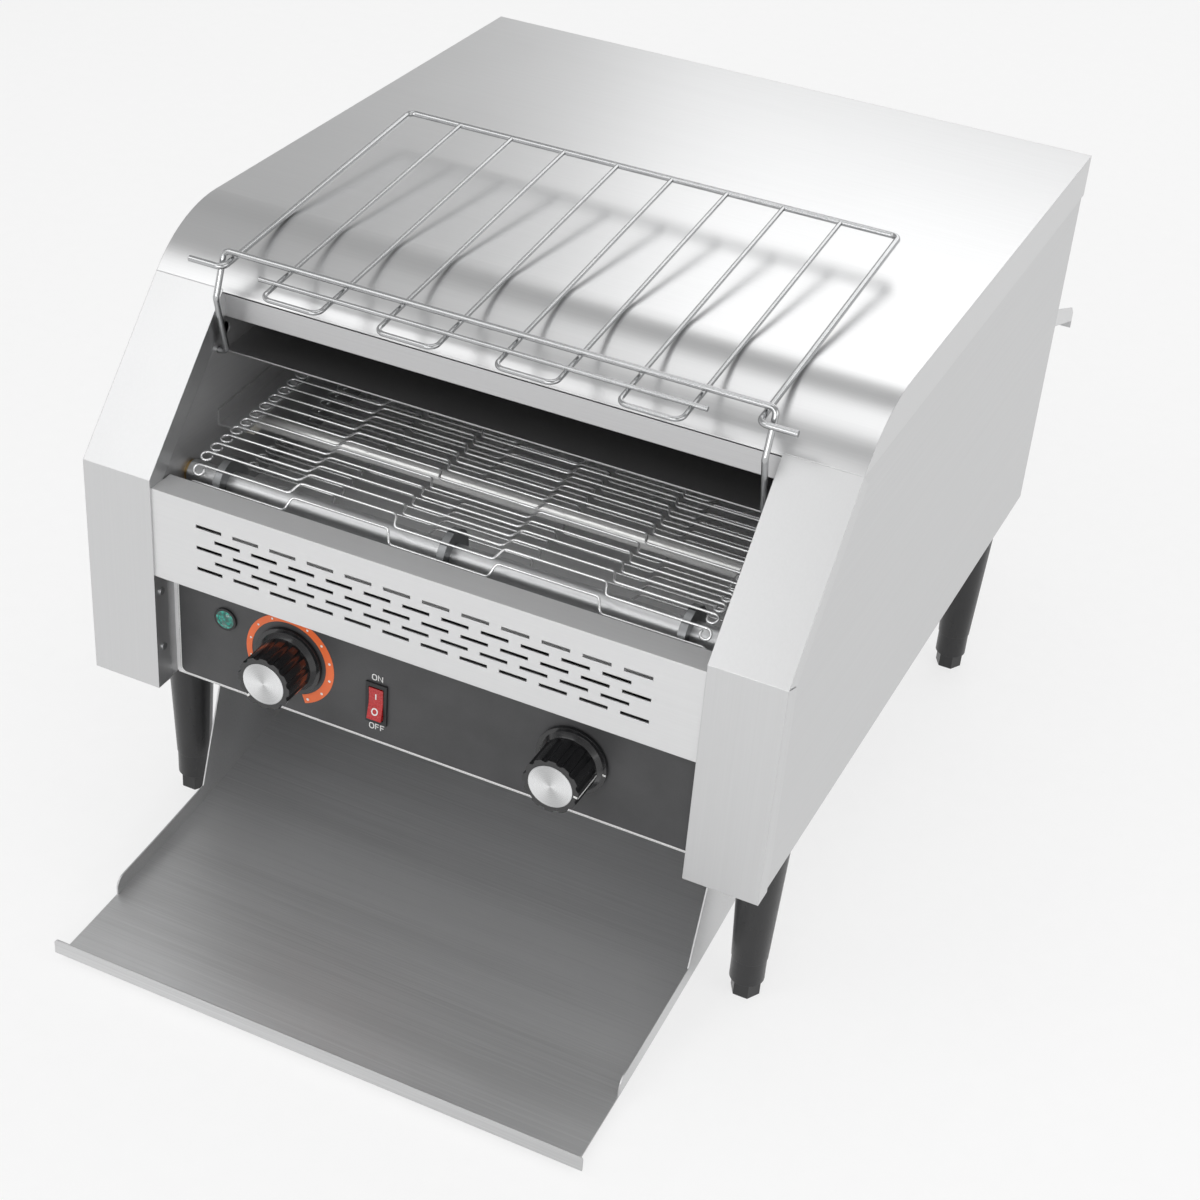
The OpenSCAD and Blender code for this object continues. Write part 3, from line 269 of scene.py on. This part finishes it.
def turned(name, colour, rough):
    """A metal disc turned on a lathe: fine rings, and a sheen painted into its colour in two fan
    shapes.
    """
    mat, tree, shader = new_material(name)
    box_place = add(tree, "ShaderNodeTexCoord").outputs["Generated"]
    centred = vector_calc(tree, "SUBTRACT", box_place, (0.5, 0.5, 0.5))
    flat = vector_calc(tree, "MULTIPLY", centred, (1, 0, 1))
    radius = add(tree, "ShaderNodeVectorMath", flat, operation="LENGTH").outputs["Value"]
    rings = noise(tree, CAP_RINGS, 2.0, add(tree, "ShaderNodeCombineXYZ", radius).outputs[0])
    split = add(tree, "ShaderNodeSeparateXYZ", flat)
    angle = calc(tree, "ARCTAN2", split.outputs["Z"], split.outputs["X"])
    # Painted sheen: the colour lighter and darker by the angle round the middle
    painted_sheen = calc(tree, "SINE", calc(tree, "MULTIPLY_ADD", angle, FAN_COUNT, FAN_TURN))
    tone = calc(tree, "MULTIPLY_ADD", painted_sheen, FAN_SHARE, rings)
    feed_all(tree, shader, {
        "Base Color": mix_colour(tree, tone, tuple(c * FAN_DARK for c in colour), colour),
        "Roughness": varied_rough(tree, rings, rough),
        "Metallic": 1.0,
        "Anisotropic": 0.8,
        "Tangent": add(tree, "ShaderNodeTangent", direction_type="RADIAL", axis="Y").outputs[0],
        "Normal": bevelled(tree, CUT_EDGE, rings, depth=0.00001, strength=0.3),
    })
    return mat


def faceted_lens(name, dark, light, rough):
    """A lamp's lens with small moulded facets behind a clear gloss."""
    mat, tree, shader = new_material(name)
    cells = add(tree, "ShaderNodeTexVoronoi", feature="F1")
    feed_all(tree, cells, {"Vector": add(tree, "ShaderNodeTexCoord").outputs["Object"],
                           "Scale": LENS_FACETS})
    facets = ramp(tree, cells.outputs["Distance"], 0, 1, 0.1, 0.7)
    feed_all(tree, shader, {
        "Base Color": mix_colour(tree, facets, light, dark),
        "Roughness": ramp(tree, facets, rough * 0.8, rough * 1.3),
        "Coat Weight": 0.8,
        "Coat Roughness": 0.06,
        "Normal": bevelled(tree, CUT_EDGE, facets, depth=0.0003, strength=0.5),
    })
    return mat


MATERIALS = {
    # Sheet metal
    "top": brushed("brushed_top", "x", (0.62, 0.622, 0.625), 0.33),
    "cover": brushed("brushed_cover", "z", (0.64, 0.642, 0.645), 0.42,
                     spread=0.02, bump=0.04, anisotropy=0.2),
    "side": brushed("brushed_side", "y", (0.62, 0.622, 0.625), 0.42, anisotropy=0.25),
    "slotted": brushed("brushed_slotted", "x", (0.72, 0.722, 0.725), 0.42,
                       spread=0.02, bump=0.04, anisotropy=0.2, metallic=0.6),
    # The tray's brushed colour holds painted reflection in wide soft stripes
    "tray": brushed("brushed_tray_painted_reflection", "x", (0.60, 0.602, 0.605), 0.44,
                    spread=0.10, bump=0.04, anisotropy=0.3, metallic=0.9, painted_reflection=0.5),
    "inner": brushed("dull_inner", "y", (0.46, 0.46, 0.465), 0.42, spread=0.05, metallic=0.75),
    "deck": brushed("dull_deck", "x", (0.84, 0.84, 0.845), 0.40, spread=0.04, metallic=0.15),
    "lintel": brushed("dull_lintel", "x", (0.58, 0.58, 0.585), 0.38, spread=0.04),
    "reflector": brushed("bright_reflector", "x", (0.50, 0.50, 0.505), 0.34, metallic=0.9),
    "roller": brushed("roller_steel", "x", (0.60, 0.605, 0.61), 0.40, bump=0.02, anisotropy=0.2),
    # Wires, shafts and other metal
    "wire": metal("bright_wire", (0.80, 0.805, 0.81), 0.2, bump=0.03, spread=0.06, metallic=0.8),
    "rack_wire": metal("rack_wire", (0.46, 0.465, 0.47), 0.22, bump=0.02, spread=0.04, skin=200),
    "machined": metal("machined_steel", (0.42, 0.425, 0.43), 0.32),
    "disc": metal("disc_steel", (0.24, 0.245, 0.25), 0.36, bump=0.04, spread=0.06),
    "dark": metal("dark_metal", (0.10, 0.105, 0.11), 0.42),
    "bronze": metal("bearing_bronze", (0.55, 0.38, 0.18), 0.35),
    # A turned cap with a sheen painted into its colour beside its rings
    "cap": turned("turned_cap", (0.84, 0.845, 0.85), 0.26),
    # Tubes and their holders
    "tube": metal("quartz_tube", (0.84, 0.84, 0.83), 0.2,
                  bump=0.03, spread=0.05, skin=90, metallic=0.45),
    "ceramic": plastic("ceramic_white", (0.74, 0.71, 0.64), 0.7, depth=0.00006, skin=700),
    # Plastic and paint
    "matte_black": plastic("black_plastic", (0.018, 0.018, 0.019), 0.5, depth=0.00005, skin=800),
    "gloss_black": plastic("glossy_black", (0.008, 0.008, 0.009), 0.22,
                           depth=0.00001, skin=500, coat=0.5),
    "rocker": plastic("rocker_red", (0.45, 0.010, 0.012), 0.28,
                      depth=0.00001, skin=600, coat=0.4),
    "leg": plastic("leg_black", (0.014, 0.014, 0.015), 0.34, depth=0.00004, skin=700, coat=0.1),
    "lens": faceted_lens("lamp_lens", (0.002, 0.10, 0.08), (0.01, 0.42, 0.32), 0.22),
    # Prints
    "overlay": plastic("panel_print", (0.058, 0.058, 0.060), 0.46, depth=0.00002, skin=1400),
    "scale": plastic("scale_print", (0.86, 0.17, 0.05), 0.42,
                     depth=0.00001, skin=1400, spread=0.06),
    "print_white": plastic("print_white", (0.82, 0.82, 0.81), 0.5, depth=0.00001, spread=0.03),
}

CAD_LOOKS = {
    "top": ["top_cover"],
    "side": ["left_side_panel", "right_side_panel", "back_panel"],
    "cover": ["left_corner_cover", "right_corner_cover"],
    "slotted": ["slotted_panel", "rear_deflector"],
    "tray": ["tray"],
    "inner": ["left_inner_wall", "right_inner_wall", "belt_rails"],
    "reflector": ["upper_reflector"],
    "lintel": ["lintel"],
    "deck": ["inner_deck", "toast_slide", "control_panel", "base_plate", "tray_runners",
             "motor_bracket"],
    "overlay": ["control_overlay"],
    "scale": ["speed_scale"],
    "tube": ["upper_heaters", "lower_heaters"],
    "ceramic": ["heater_holders", "terminal_block", "selector_switch"],
    "wire": ["conveyor_belt"],
    "rack_wire": ["rack", "rack_bail"],
    "roller": ["front_roller"],
    "bronze": ["bearings"],
    "machined": ["drive_shaft", "shaft_sprocket", "motor_sprocket", "drive_chain", "fasteners",
                 "speed_spindle", "selector_spindle"],
    "disc": ["roller_discs", "drive_discs"],
    "dark": ["gear_motor", "speed_controller"],
    "matte_black": ["fan_frame", "fan_impeller", "lamp_bezel", "switch_housing", "cable_gland"],
    "gloss_black": ["speed_knob", "selector_knob"],
    "cap": ["speed_knob_cap", "selector_knob_cap"],
    "lens": ["indicator_lamp"],
    "rocker": ["power_rocker"],
    "leg": ["legs", "front_left_foot", "front_right_foot", "rear_left_foot", "rear_right_foot"],
}


def dress_cad():
    """Gives every CAD node its material."""
    for look, names in CAD_LOOKS.items():
        for name in names:
            slots = NODES[name].data.materials
            slots.clear()
            slots.append(MATERIALS[look])


# ------------------------------------------------------------- mesh helpers

WIRE_SIDES = 8
DOT_SIDES = 16
MITRE_LIMIT = 0.5


def circle(count):
    """Angles of evenly spaced points round a circle."""
    return [2 * math.pi * k / count for k in range(count)]


class Form:
    """Gathers the vertices and faces of one piece, in millimetres."""

    def __init__(self):
        self.verts = []
        self.faces = []

    def put(self, verts, faces):
        """Adds a closed shell, its faces counted from its own first vertex."""
        start = len(self.verts)
        self.verts += [Vector(v) for v in verts]
        self.faces += [tuple(i + start for i in f) for f in faces]

    def wire(self, path, radius):
        """A round wire along a list of points, capped at both ends."""
        path = [Vector(p) for p in path]
        last = len(path) - 1
        ring_up = None
        verts = []
        for i, p in enumerate(path):
            heading = (path[min(i + 1, last)] - path[max(i - 1, 0)]).normalized()
            if ring_up is None:
                ring_up = heading.orthogonal().normalized()
            ring_up = (ring_up - heading * ring_up.dot(heading)).normalized()
            across = heading.cross(ring_up)
            verts += [p + radius * (math.cos(a) * ring_up + math.sin(a) * across)
                      for a in circle(WIRE_SIDES)]
        faces = []
        for start in range(0, last * WIRE_SIDES, WIRE_SIDES):
            for k in range(WIRE_SIDES):
                n = (k + 1) % WIRE_SIDES
                faces.append((start + k, start + n, start + WIRE_SIDES + n,
                              start + WIRE_SIDES + k))
        faces.append(tuple(range(WIRE_SIDES - 1, -1, -1)))
        faces.append(tuple(last * WIRE_SIDES + k for k in range(WIRE_SIDES)))
        self.put(verts, faces)

    def box(self, low, high, place):
        """A placed box."""
        xs, ys, zs = zip(low, high)
        verts = [place(Vector((x, y, z))) for x in xs for y in ys for z in zs]
        self.put(verts, [(0, 1, 3, 2), (4, 6, 7, 5), (0, 4, 5, 1),
                         (2, 3, 7, 6), (0, 2, 6, 4), (1, 5, 7, 3)])

    def stroke(self, points, line_width, place, closed):
        """A flat printed line along 2D points, one skin thick on the placed surface."""
        pts = [Vector(p) for p in points]
        count = len(pts)
        verts = []
        for i, p in enumerate(pts):
            before = pts[(i - 1) % count] if closed or i else None
            after = pts[(i + 1) % count] if closed or i < count - 1 else None
            into = (p - before).normalized() if before is not None else None
            out = (after - p).normalized() if after is not None else None
            heading = ((into or out) + (out or into)).normalized()
            side = Vector((-heading.y, heading.x))
            reach = line_width / 2
            if into is not None and out is not None:
                reach /= max(MITRE_LIMIT, side.dot(Vector((-out.y, out.x))))
            for h in (0, SKIN):
                for q in (p + reach * side, p - reach * side):
                    verts.append(place(Vector((q.x, q.y, h))))
        faces = []
        for i in range(count if closed else count - 1):
            a, b = 4 * i, 4 * ((i + 1) % count)
            faces += [(a + 2, a + 3, b + 3, b + 2), (a + 1, a, b, b + 1),
                      (a, a + 2, b + 2, b), (a + 3, a + 1, b + 1, b + 3)]
        if not closed:
            end = 4 * (count - 1)
            faces += [(0, 1, 3, 2), (end + 1, end, end + 2, end + 3)]
        self.put(verts, faces)

    def dot(self, x, y, radius, place):
        """A round printed dot, one skin thick on the placed surface."""
        ring = [(x + radius * math.cos(a), y + radius * math.sin(a)) for a in circle(DOT_SIDES)]
        verts = [place(Vector((*p, h))) for h in (0, SKIN) for p in ring]
        faces = [tuple(range(DOT_SIDES - 1, -1, -1)), tuple(range(DOT_SIDES, 2 * DOT_SIDES))]
        for k in range(DOT_SIDES):
            n = (k + 1) % DOT_SIDES
            faces.append((k, n, DOT_SIDES + n, DOT_SIDES + k))
        self.put(verts, faces)

    def piece(self, name, body, look, smooth=True):
        """Makes the object, smooth but for its end caps, and hangs it on a body."""
        mesh = bpy.data.meshes.new(name)
        mesh.from_pydata([v * MM for v in self.verts], [], self.faces)
        mesh.validate()
        for polygon in mesh.polygons:
            polygon.use_smooth = smooth and len(polygon.vertices) == 4
        mesh.materials.append(MATERIALS[look])
        obj = bpy.data.objects.new(name, mesh)
        bpy.context.scene.collection.objects.link(obj)
        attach(obj, body)
        return obj


def rounded(points, bend, steps):
    """A path through the points with each inner corner turned into a round bend."""
    pts = [Vector(p) for p in points]
    path = [pts[0]]
    for a, b, c in zip(pts, pts[1:], pts[2:]):
        cut = min(bend, (b - a).length / 2.01, (c - b).length / 2.01)
        start = b + (a - b).normalized() * cut
        end = b + (c - b).normalized() * cut
        path += [start.lerp(b, t).lerp(b.lerp(end, t), t)
                 for t in (k / steps for k in range(steps + 1))]
    path.append(pts[-1])
    return path


def round_box(low, high, radius, steps=5):
    """Corners of a rounded rectangle, anticlockwise, for a closed stroke."""
    (x0, y0), (x1, y1) = low, high
    points = []
    for cx, cy, turn in ((x1 - radius, y0 + radius, -90), (x1 - radius, y1 - radius, 0),
                         (x0 + radius, y1 - radius, 90), (x0 + radius, y0 + radius, 180)):
        for k in range(steps + 1):
            a = math.radians(turn + 90 * k / steps)
            points.append((cx + radius * math.cos(a), cy + radius * math.sin(a)))
    return points


def on_panel(x, z, y=OVERLAY_Y):
    """Places local points on the control panel, with the local z axis out of the front."""
    return lambda v: Vector((x + v[0], y - v[2], z + v[1]))


# ---------------------------------------------------------------- the camera

CAMERA_AZIMUTH = math.radians(22.75)
CAMERA_ELEVATION = math.radians(33.90)
CAMERA_ROLL = math.radians(4.86)
CAMERA_PLACE = (517.9, -1203.7, 1005.0)
CAMERA_SHIFT_Y = 0.004
FOCAL_PIXELS = 2244.0
PICTURE_PIXELS = 1200


def make_camera():
    """The photograph's view, as near as an ordinary camera comes to it."""
    back = Vector((math.sin(CAMERA_AZIMUTH) * math.cos(CAMERA_ELEVATION),
                   -math.cos(CAMERA_AZIMUTH) * math.cos(CAMERA_ELEVATION),
                   math.sin(CAMERA_ELEVATION)))
    right = Vector((0, 0, 1)).cross(back).normalized()
    up = back.cross(right)
    c, s = math.cos(CAMERA_ROLL), math.sin(CAMERA_ROLL)
    turn = Matrix((c * right + s * up, -s * right + c * up, back)).transposed().to_4x4()
    data = bpy.data.cameras.new("camera")
    data.sensor_width = 36
    data.lens = FOCAL_PIXELS * data.sensor_width / PICTURE_PIXELS
    data.shift_y = CAMERA_SHIFT_Y
    data.clip_start = 0.05
    data.clip_end = 50
    camera = bpy.data.objects.new("camera", data)
    camera.matrix_world = Matrix.Translation(Vector(CAMERA_PLACE) * MM) @ turn
    bpy.context.scene.collection.objects.link(camera)
    bpy.context.scene.camera = camera


# ------------------------------------------------- the sky, floor and lamps

# Strength of the sky at a lower and an upper height, and these heights as the Z of the direction
SKY_LIGHT = (0.42, 0.62, -0.2, 0.9)
SKY_SEEN = (0.97, 0.50, 0.08, 0.40)
# Half the floor's side in metres, and the share of its colour that needs no light where it is seen
FLOOR_HALF = 8.0
FLOOR_LIFT = 0.72

# Name, place and aim in metres, energy, width and height of each lamp
LAMPS = (
    ("key", (-1.3, -1.7, 2.2), (0, 0, 0.25), 13, 1.6, 1.6),
    ("front", (0.3, -2.3, 0.9), (0, -0.1, 0.3), 15, 1.8, 0.8),
    ("right", (2.3, -0.5, 1.2), (0, 0, 0.25), 10, 1.8, 1.4),
    ("back", (0.2, 2.2, 1.9), (0, 0.1, 0.4), 15, 2.6, 1.2),
    ("over", (0.0, 0.1, 2.6), (0, 0.1, 0.4), 8, 1.6, 1.2),
)


def seen_ray(tree):
    """1 for a ray that shows the backdrop to the camera, directly, in metal or through glass."""
    path = add(tree, "ShaderNodeLightPath")
    seen = path.outputs["Is Camera Ray"]
    for other in ("Is Glossy Ray", "Is Transmission Ray"):
        seen = calc(tree, "MAXIMUM", seen, path.outputs[other])
    return seen


def make_sky():
    """A soft gradient that lights the object, and a pale backdrop where the sky is seen."""
    world = bpy.data.worlds.new("studio")
    bpy.context.scene.world = world
    world.use_nodes = True
    tree = world.node_tree
    tree.nodes.clear()
    coords = add(tree, "ShaderNodeTexCoord")
    height = add(tree, "ShaderNodeSeparateXYZ", coords.outputs["Generated"]).outputs["Z"]
    light = add(tree, "ShaderNodeBackground")
    feed(tree, light.inputs["Strength"], ramp(tree, height, *SKY_LIGHT))
    pale = add(tree, "ShaderNodeBackground")
    feed_all(tree, pale, {"Color": (1, 1, 1, 1), "Strength": ramp(tree, height, *SKY_SEEN)})
    shown = add(tree, "ShaderNodeMixShader", seen_ray(tree), light.outputs[0], pale.outputs[0])
    out = add(tree, "ShaderNodeOutputWorld")
    tree.links.new(shown.outputs[0], out.inputs["Surface"])


def make_floor():
    """A white sheet that keeps the object's shadow and is lifted a little where it is seen."""
    mesh = bpy.data.meshes.new("floor")
    half = FLOOR_HALF
    mesh.from_pydata([(-half, -half, 0), (half, -half, 0), (half, half, 0), (-half, half, 0)],
                     [], [(0, 1, 2, 3)])
    floor = bpy.data.objects.new("floor", mesh)
    bpy.context.scene.collection.objects.link(floor)
    mat, tree, shader = new_material("floor")
    grit = noise(tree, 60)
    feed_all(tree, shader, {
        "Base Color": mix_colour(tree, grit, (0.90, 0.90, 0.90), (0.93, 0.93, 0.93)),
        "Roughness": 0.9,
        "Specular IOR Level": 0.1,
    })
    glow = add(tree, "ShaderNodeEmission")
    feed(tree, glow.inputs["Strength"], ramp(tree, grit, 0.985, 1.0))
    share = ramp(tree, seen_ray(tree), 0.0, FLOOR_LIFT)
    shown = add(tree, "ShaderNodeMixShader", share, shader.outputs[0], glow.outputs[0])
    tree.links.new(shown.outputs[0], tree.nodes["Material Output"].inputs["Surface"])
    mesh.materials.append(mat)


def make_lamps():
    """Soft rectangular lamps round the object."""
    for name, place, aim, energy, size_x, size_y in LAMPS:
        data = bpy.data.lights.new(name, "AREA")
        data.energy = energy
        data.shape = "RECTANGLE"
        data.size = size_x
        data.size_y = size_y
        lamp = bpy.data.objects.new(name, data)
        lamp.location = place
        lamp.rotation_euler = (Vector(place) - Vector(aim)).to_track_quat("Z", "Y").to_euler()
        bpy.context.scene.collection.objects.link(lamp)


# ----------------------------------------------------------------- the belt

WIRE_R = 0.8
WIRE_COUNT = 86
# From a disc's rim to the wires' centre line
WIRE_LIFT = 1.3
BELT_R = (DISC_HIGH.z - DISC_LOW.z) / 2 + WIRE_LIFT
RUN = 2 * BELT_LEN + 2 * math.pi * BELT_R
WIRE_PITCH = RUN / WIRE_COUNT
# A wire has five straight runs with a crank between each two, and a hook at each end
RUNS = 5
CRANK_HALF = 1.5
CRANK_GAP = 0.3
BEND_R = 2.4
BEND_STEPS = 3
HOOK_R = 3.4
HOOK_DROP = 1.6
HOOK_INSET = 4.3
HOOK_TURNS = [math.radians(a) for a in range(70, -221, -29)]


def on_belt_loop(x, s, lift):
    """A point of the belt's loop, s millimetres on from the front of its upper run."""
    s %= RUN
    half_turn = math.pi * BELT_R
    r = BELT_R + lift
    if s < BELT_LEN:
        u, w = s, r
    elif s < BELT_LEN + half_turn:
        a = (s - BELT_LEN) / BELT_R
        u, w = BELT_LEN + r * math.sin(a), r * math.cos(a)
    elif s < 2 * BELT_LEN + half_turn:
        u, w = 2 * BELT_LEN + half_turn - s, -r
    else:
        a = (s - 2 * BELT_LEN - half_turn) / BELT_R
        u, w = -r * math.sin(a), -r * math.cos(a)
    return Vector((x, ROLLER.y + u * math.cos(BELT_TILT) - w * math.sin(BELT_TILT),
                   ROLLER.z + u * math.sin(BELT_TILT) + w * math.cos(BELT_TILT)))


def belt_wire_path():
    """One wire of the belt as points of x, way along the belt, and lift off it."""
    step = WIRE_PITCH - 2 * WIRE_R - CRANK_GAP
    edge = BELT_W / 2 - HOOK_INSET
    corners = [(-edge, 0, 0)]
    for i in range(1, RUNS):
        x = -BELT_W / 2 + i * BELT_W / RUNS
        before, after = (0, step) if i % 2 else (step, 0)
        corners += [(x - CRANK_HALF, before, 0), (x + CRANK_HALF, after, 0)]
    corners.append((edge, 0, 0))
    right = [(edge + HOOK_R * math.cos(a), -HOOK_R + HOOK_R * math.sin(a),
              -HOOK_DROP * (k + 1) / len(HOOK_TURNS)) for k, a in enumerate(HOOK_TURNS)]
    left = [(-x, s, lift) for x, s, lift in reversed(right)]
    return left + [tuple(p) for p in rounded(corners, BEND_R, BEND_STEPS)] + right


def make_belt():
    """The linked wires that stand for the CAD belt."""
    path = belt_wire_path()
    form = Form()
    for k in range(WIRE_COUNT):
        form.wire([on_belt_loop(x, k * WIRE_PITCH + s, lift) for x, s, lift in path], WIRE_R)
    belt = form.piece("belt_wires", "casing", "wire")
    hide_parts("conveyor_belt")


# --------------------------------------------------------------- the prints

# Thickness of a print, in millimetres
SKIN = 0.04
BORDER_INSET = 0.6
BORDER_R = 4.2
BORDER_LINE = 0.9
LETTER_H = 4.0
LETTER_LINE = 0.7
LETTER_GAP = 1.2
# Each letter's strokes, with whether they close on themselves, and the step to the next letter
LETTERS = {
    "O": ([(round_box((0, 0), (3.0, LETTER_H), 1.3, 4), True)], 4.3),
    "N": ([([(0, 0), (0, LETTER_H), (2.9, 0), (2.9, LETTER_H)], False)], 4.2),
    "F": ([([(2.5, LETTER_H), (0, LETTER_H), (0, 0)], False), ([(0, 2.1), (2.1, 2.1)], False)],
          3.6),
}
# Height of each word's foot
WORDS = {"ON": BEZEL_HIGH.z + 1.8, "OFF": BEZEL_LOW.z - 5.9}
DOT_COUNT = 13
DOT_FIRST, DOT_SWEEP = -64, 308
DOT_R, DOT_SHRINK, DOT_INSET = 1.0, 0.03, 2.6
SPEED_TURN, SELECTOR_TURN = 228, -5
# A pointer's half width, how deep its three lines are let into the knob, and their clearances
POINTER_HALF = 0.7
POINTER_SINK, GRIP_SINK = 0.3, 0.5
CAP_CLEAR, SKIRT_CLEAR, RIM_CLEAR = 0.8, 2.5, 0.2
# The rocker's face: height at its ends, how much lower it is in the middle, and half its length
ROCKER_FRONT, ROCKER_DIP, ROCKER_HALF = 3.2, 1.4, 11.2
MARK_LINE = 0.9


def make_overlay_print():
    """White border line of the overlay, with ON above the switch and OFF below it."""
    form = Form()
    border = round_box((OVERLAY_LOW.x + BORDER_INSET, OVERLAY_LOW.z + BORDER_INSET),
                       (OVERLAY_HIGH.x - BORDER_INSET, OVERLAY_HIGH.z - BORDER_INSET), BORDER_R)
    form.stroke(border, BORDER_LINE, on_panel(0, 0), closed=True)
    for word, z in WORDS.items():
        x = SWITCH.x - (sum(LETTERS[letter][1] for letter in word) - LETTER_GAP) / 2
        for letter in word:
            strokes, advance = LETTERS[letter]
            for line, closed in strokes:
                form.stroke(line, LETTER_LINE, on_panel(x, z), closed)
            x += advance
    form.piece("overlay_print", "casing", "print_white", smooth=False)


def make_scale_print():
    """Dots round the speed scale, from large to small."""
    form = Form()
    place = on_panel(SPEED.x, SPEED.z, SCALE_Y)
    r = SCALE_R - DOT_INSET
    for k in range(DOT_COUNT):
        a = math.radians(DOT_FIRST + DOT_SWEEP * k / (DOT_COUNT - 1))
        form.dot(r * math.cos(a), r * math.sin(a), DOT_R - DOT_SHRINK * k, place)
    form.piece("scale_dots", "casing", "print_white", smooth=False)


def make_pointer(name, body, knob, turn):
    """White line on a knob: across the front rim, down the grip and over the skirt."""
    c, s = math.cos(math.radians(turn)), math.sin(math.radians(turn))

    def place(v):
        return Vector((knob.x + v[0] * c - v[1] * s, OVERLAY_Y - v[2],
                       knob.z + v[0] * s + v[1] * c))

    form = Form()
    w = POINTER_HALF
    skirt_top = KNOB_BACK + SKIRT_T
    rim_corner = (GRIP_R + SKIN, w, KNOB_FRONT + SKIN)
    form.box((CAP_R + CAP_CLEAR, -w, KNOB_FRONT - POINTER_SINK), rim_corner, place)
    form.box((GRIP_R - GRIP_SINK, -w, skirt_top + SKIRT_CLEAR), rim_corner, place)
    form.box((SKIRT_R - SKIRT_T + RIM_CLEAR, -w, skirt_top - POINTER_SINK),
             (SKIRT_R - RIM_CLEAR, w, skirt_top + SKIN), place)
    form.piece(name, body, "print_white", smooth=False)


def make_rocker_print():
    """I on the rocker's pressed half and O on its raised half."""
    c, s = math.cos(-ROCKER_TILT), math.sin(-ROCKER_TILT)

    def tilted(y, z):
        return Vector((y * c - z * s, y * s + z * c))

    root = tilted(0, ROCKER_FRONT - ROCKER_DIP)
    for name, sign, line, closed in (
            ("rocker_mark_on", 1, [(0, 3.2), (0, 7.4)], False),
            ("rocker_mark_off", -1, round_box((-1.9, 3.4), (1.9, 7.6), 1.85), True)):
        half = (tilted(sign * ROCKER_HALF, ROCKER_FRONT) - root).normalized()
        out = Vector((-half.y, half.x)) * sign

        def place(v):
            p = root + half * v[1] + out * v[2]
            return Vector((SWITCH.x + v[0], OVERLAY_Y - p.y, SWITCH.z + p.x))

        form = Form()
        form.stroke(line, MARK_LINE, place, closed)
        form.piece(name, "rocker", "print_white", smooth=False)


make_camera()
make_sky()
make_floor()
make_lamps()
bpy.context.scene.view_settings.view_transform = "Standard"
dress_cad()
make_belt()
make_overlay_print()
make_scale_print()
make_pointer("speed_pointer", "speed_control", SPEED, SPEED_TURN)
make_pointer("selector_pointer", "selector_control", SELECTOR, SELECTOR_TURN)
make_rocker_print()
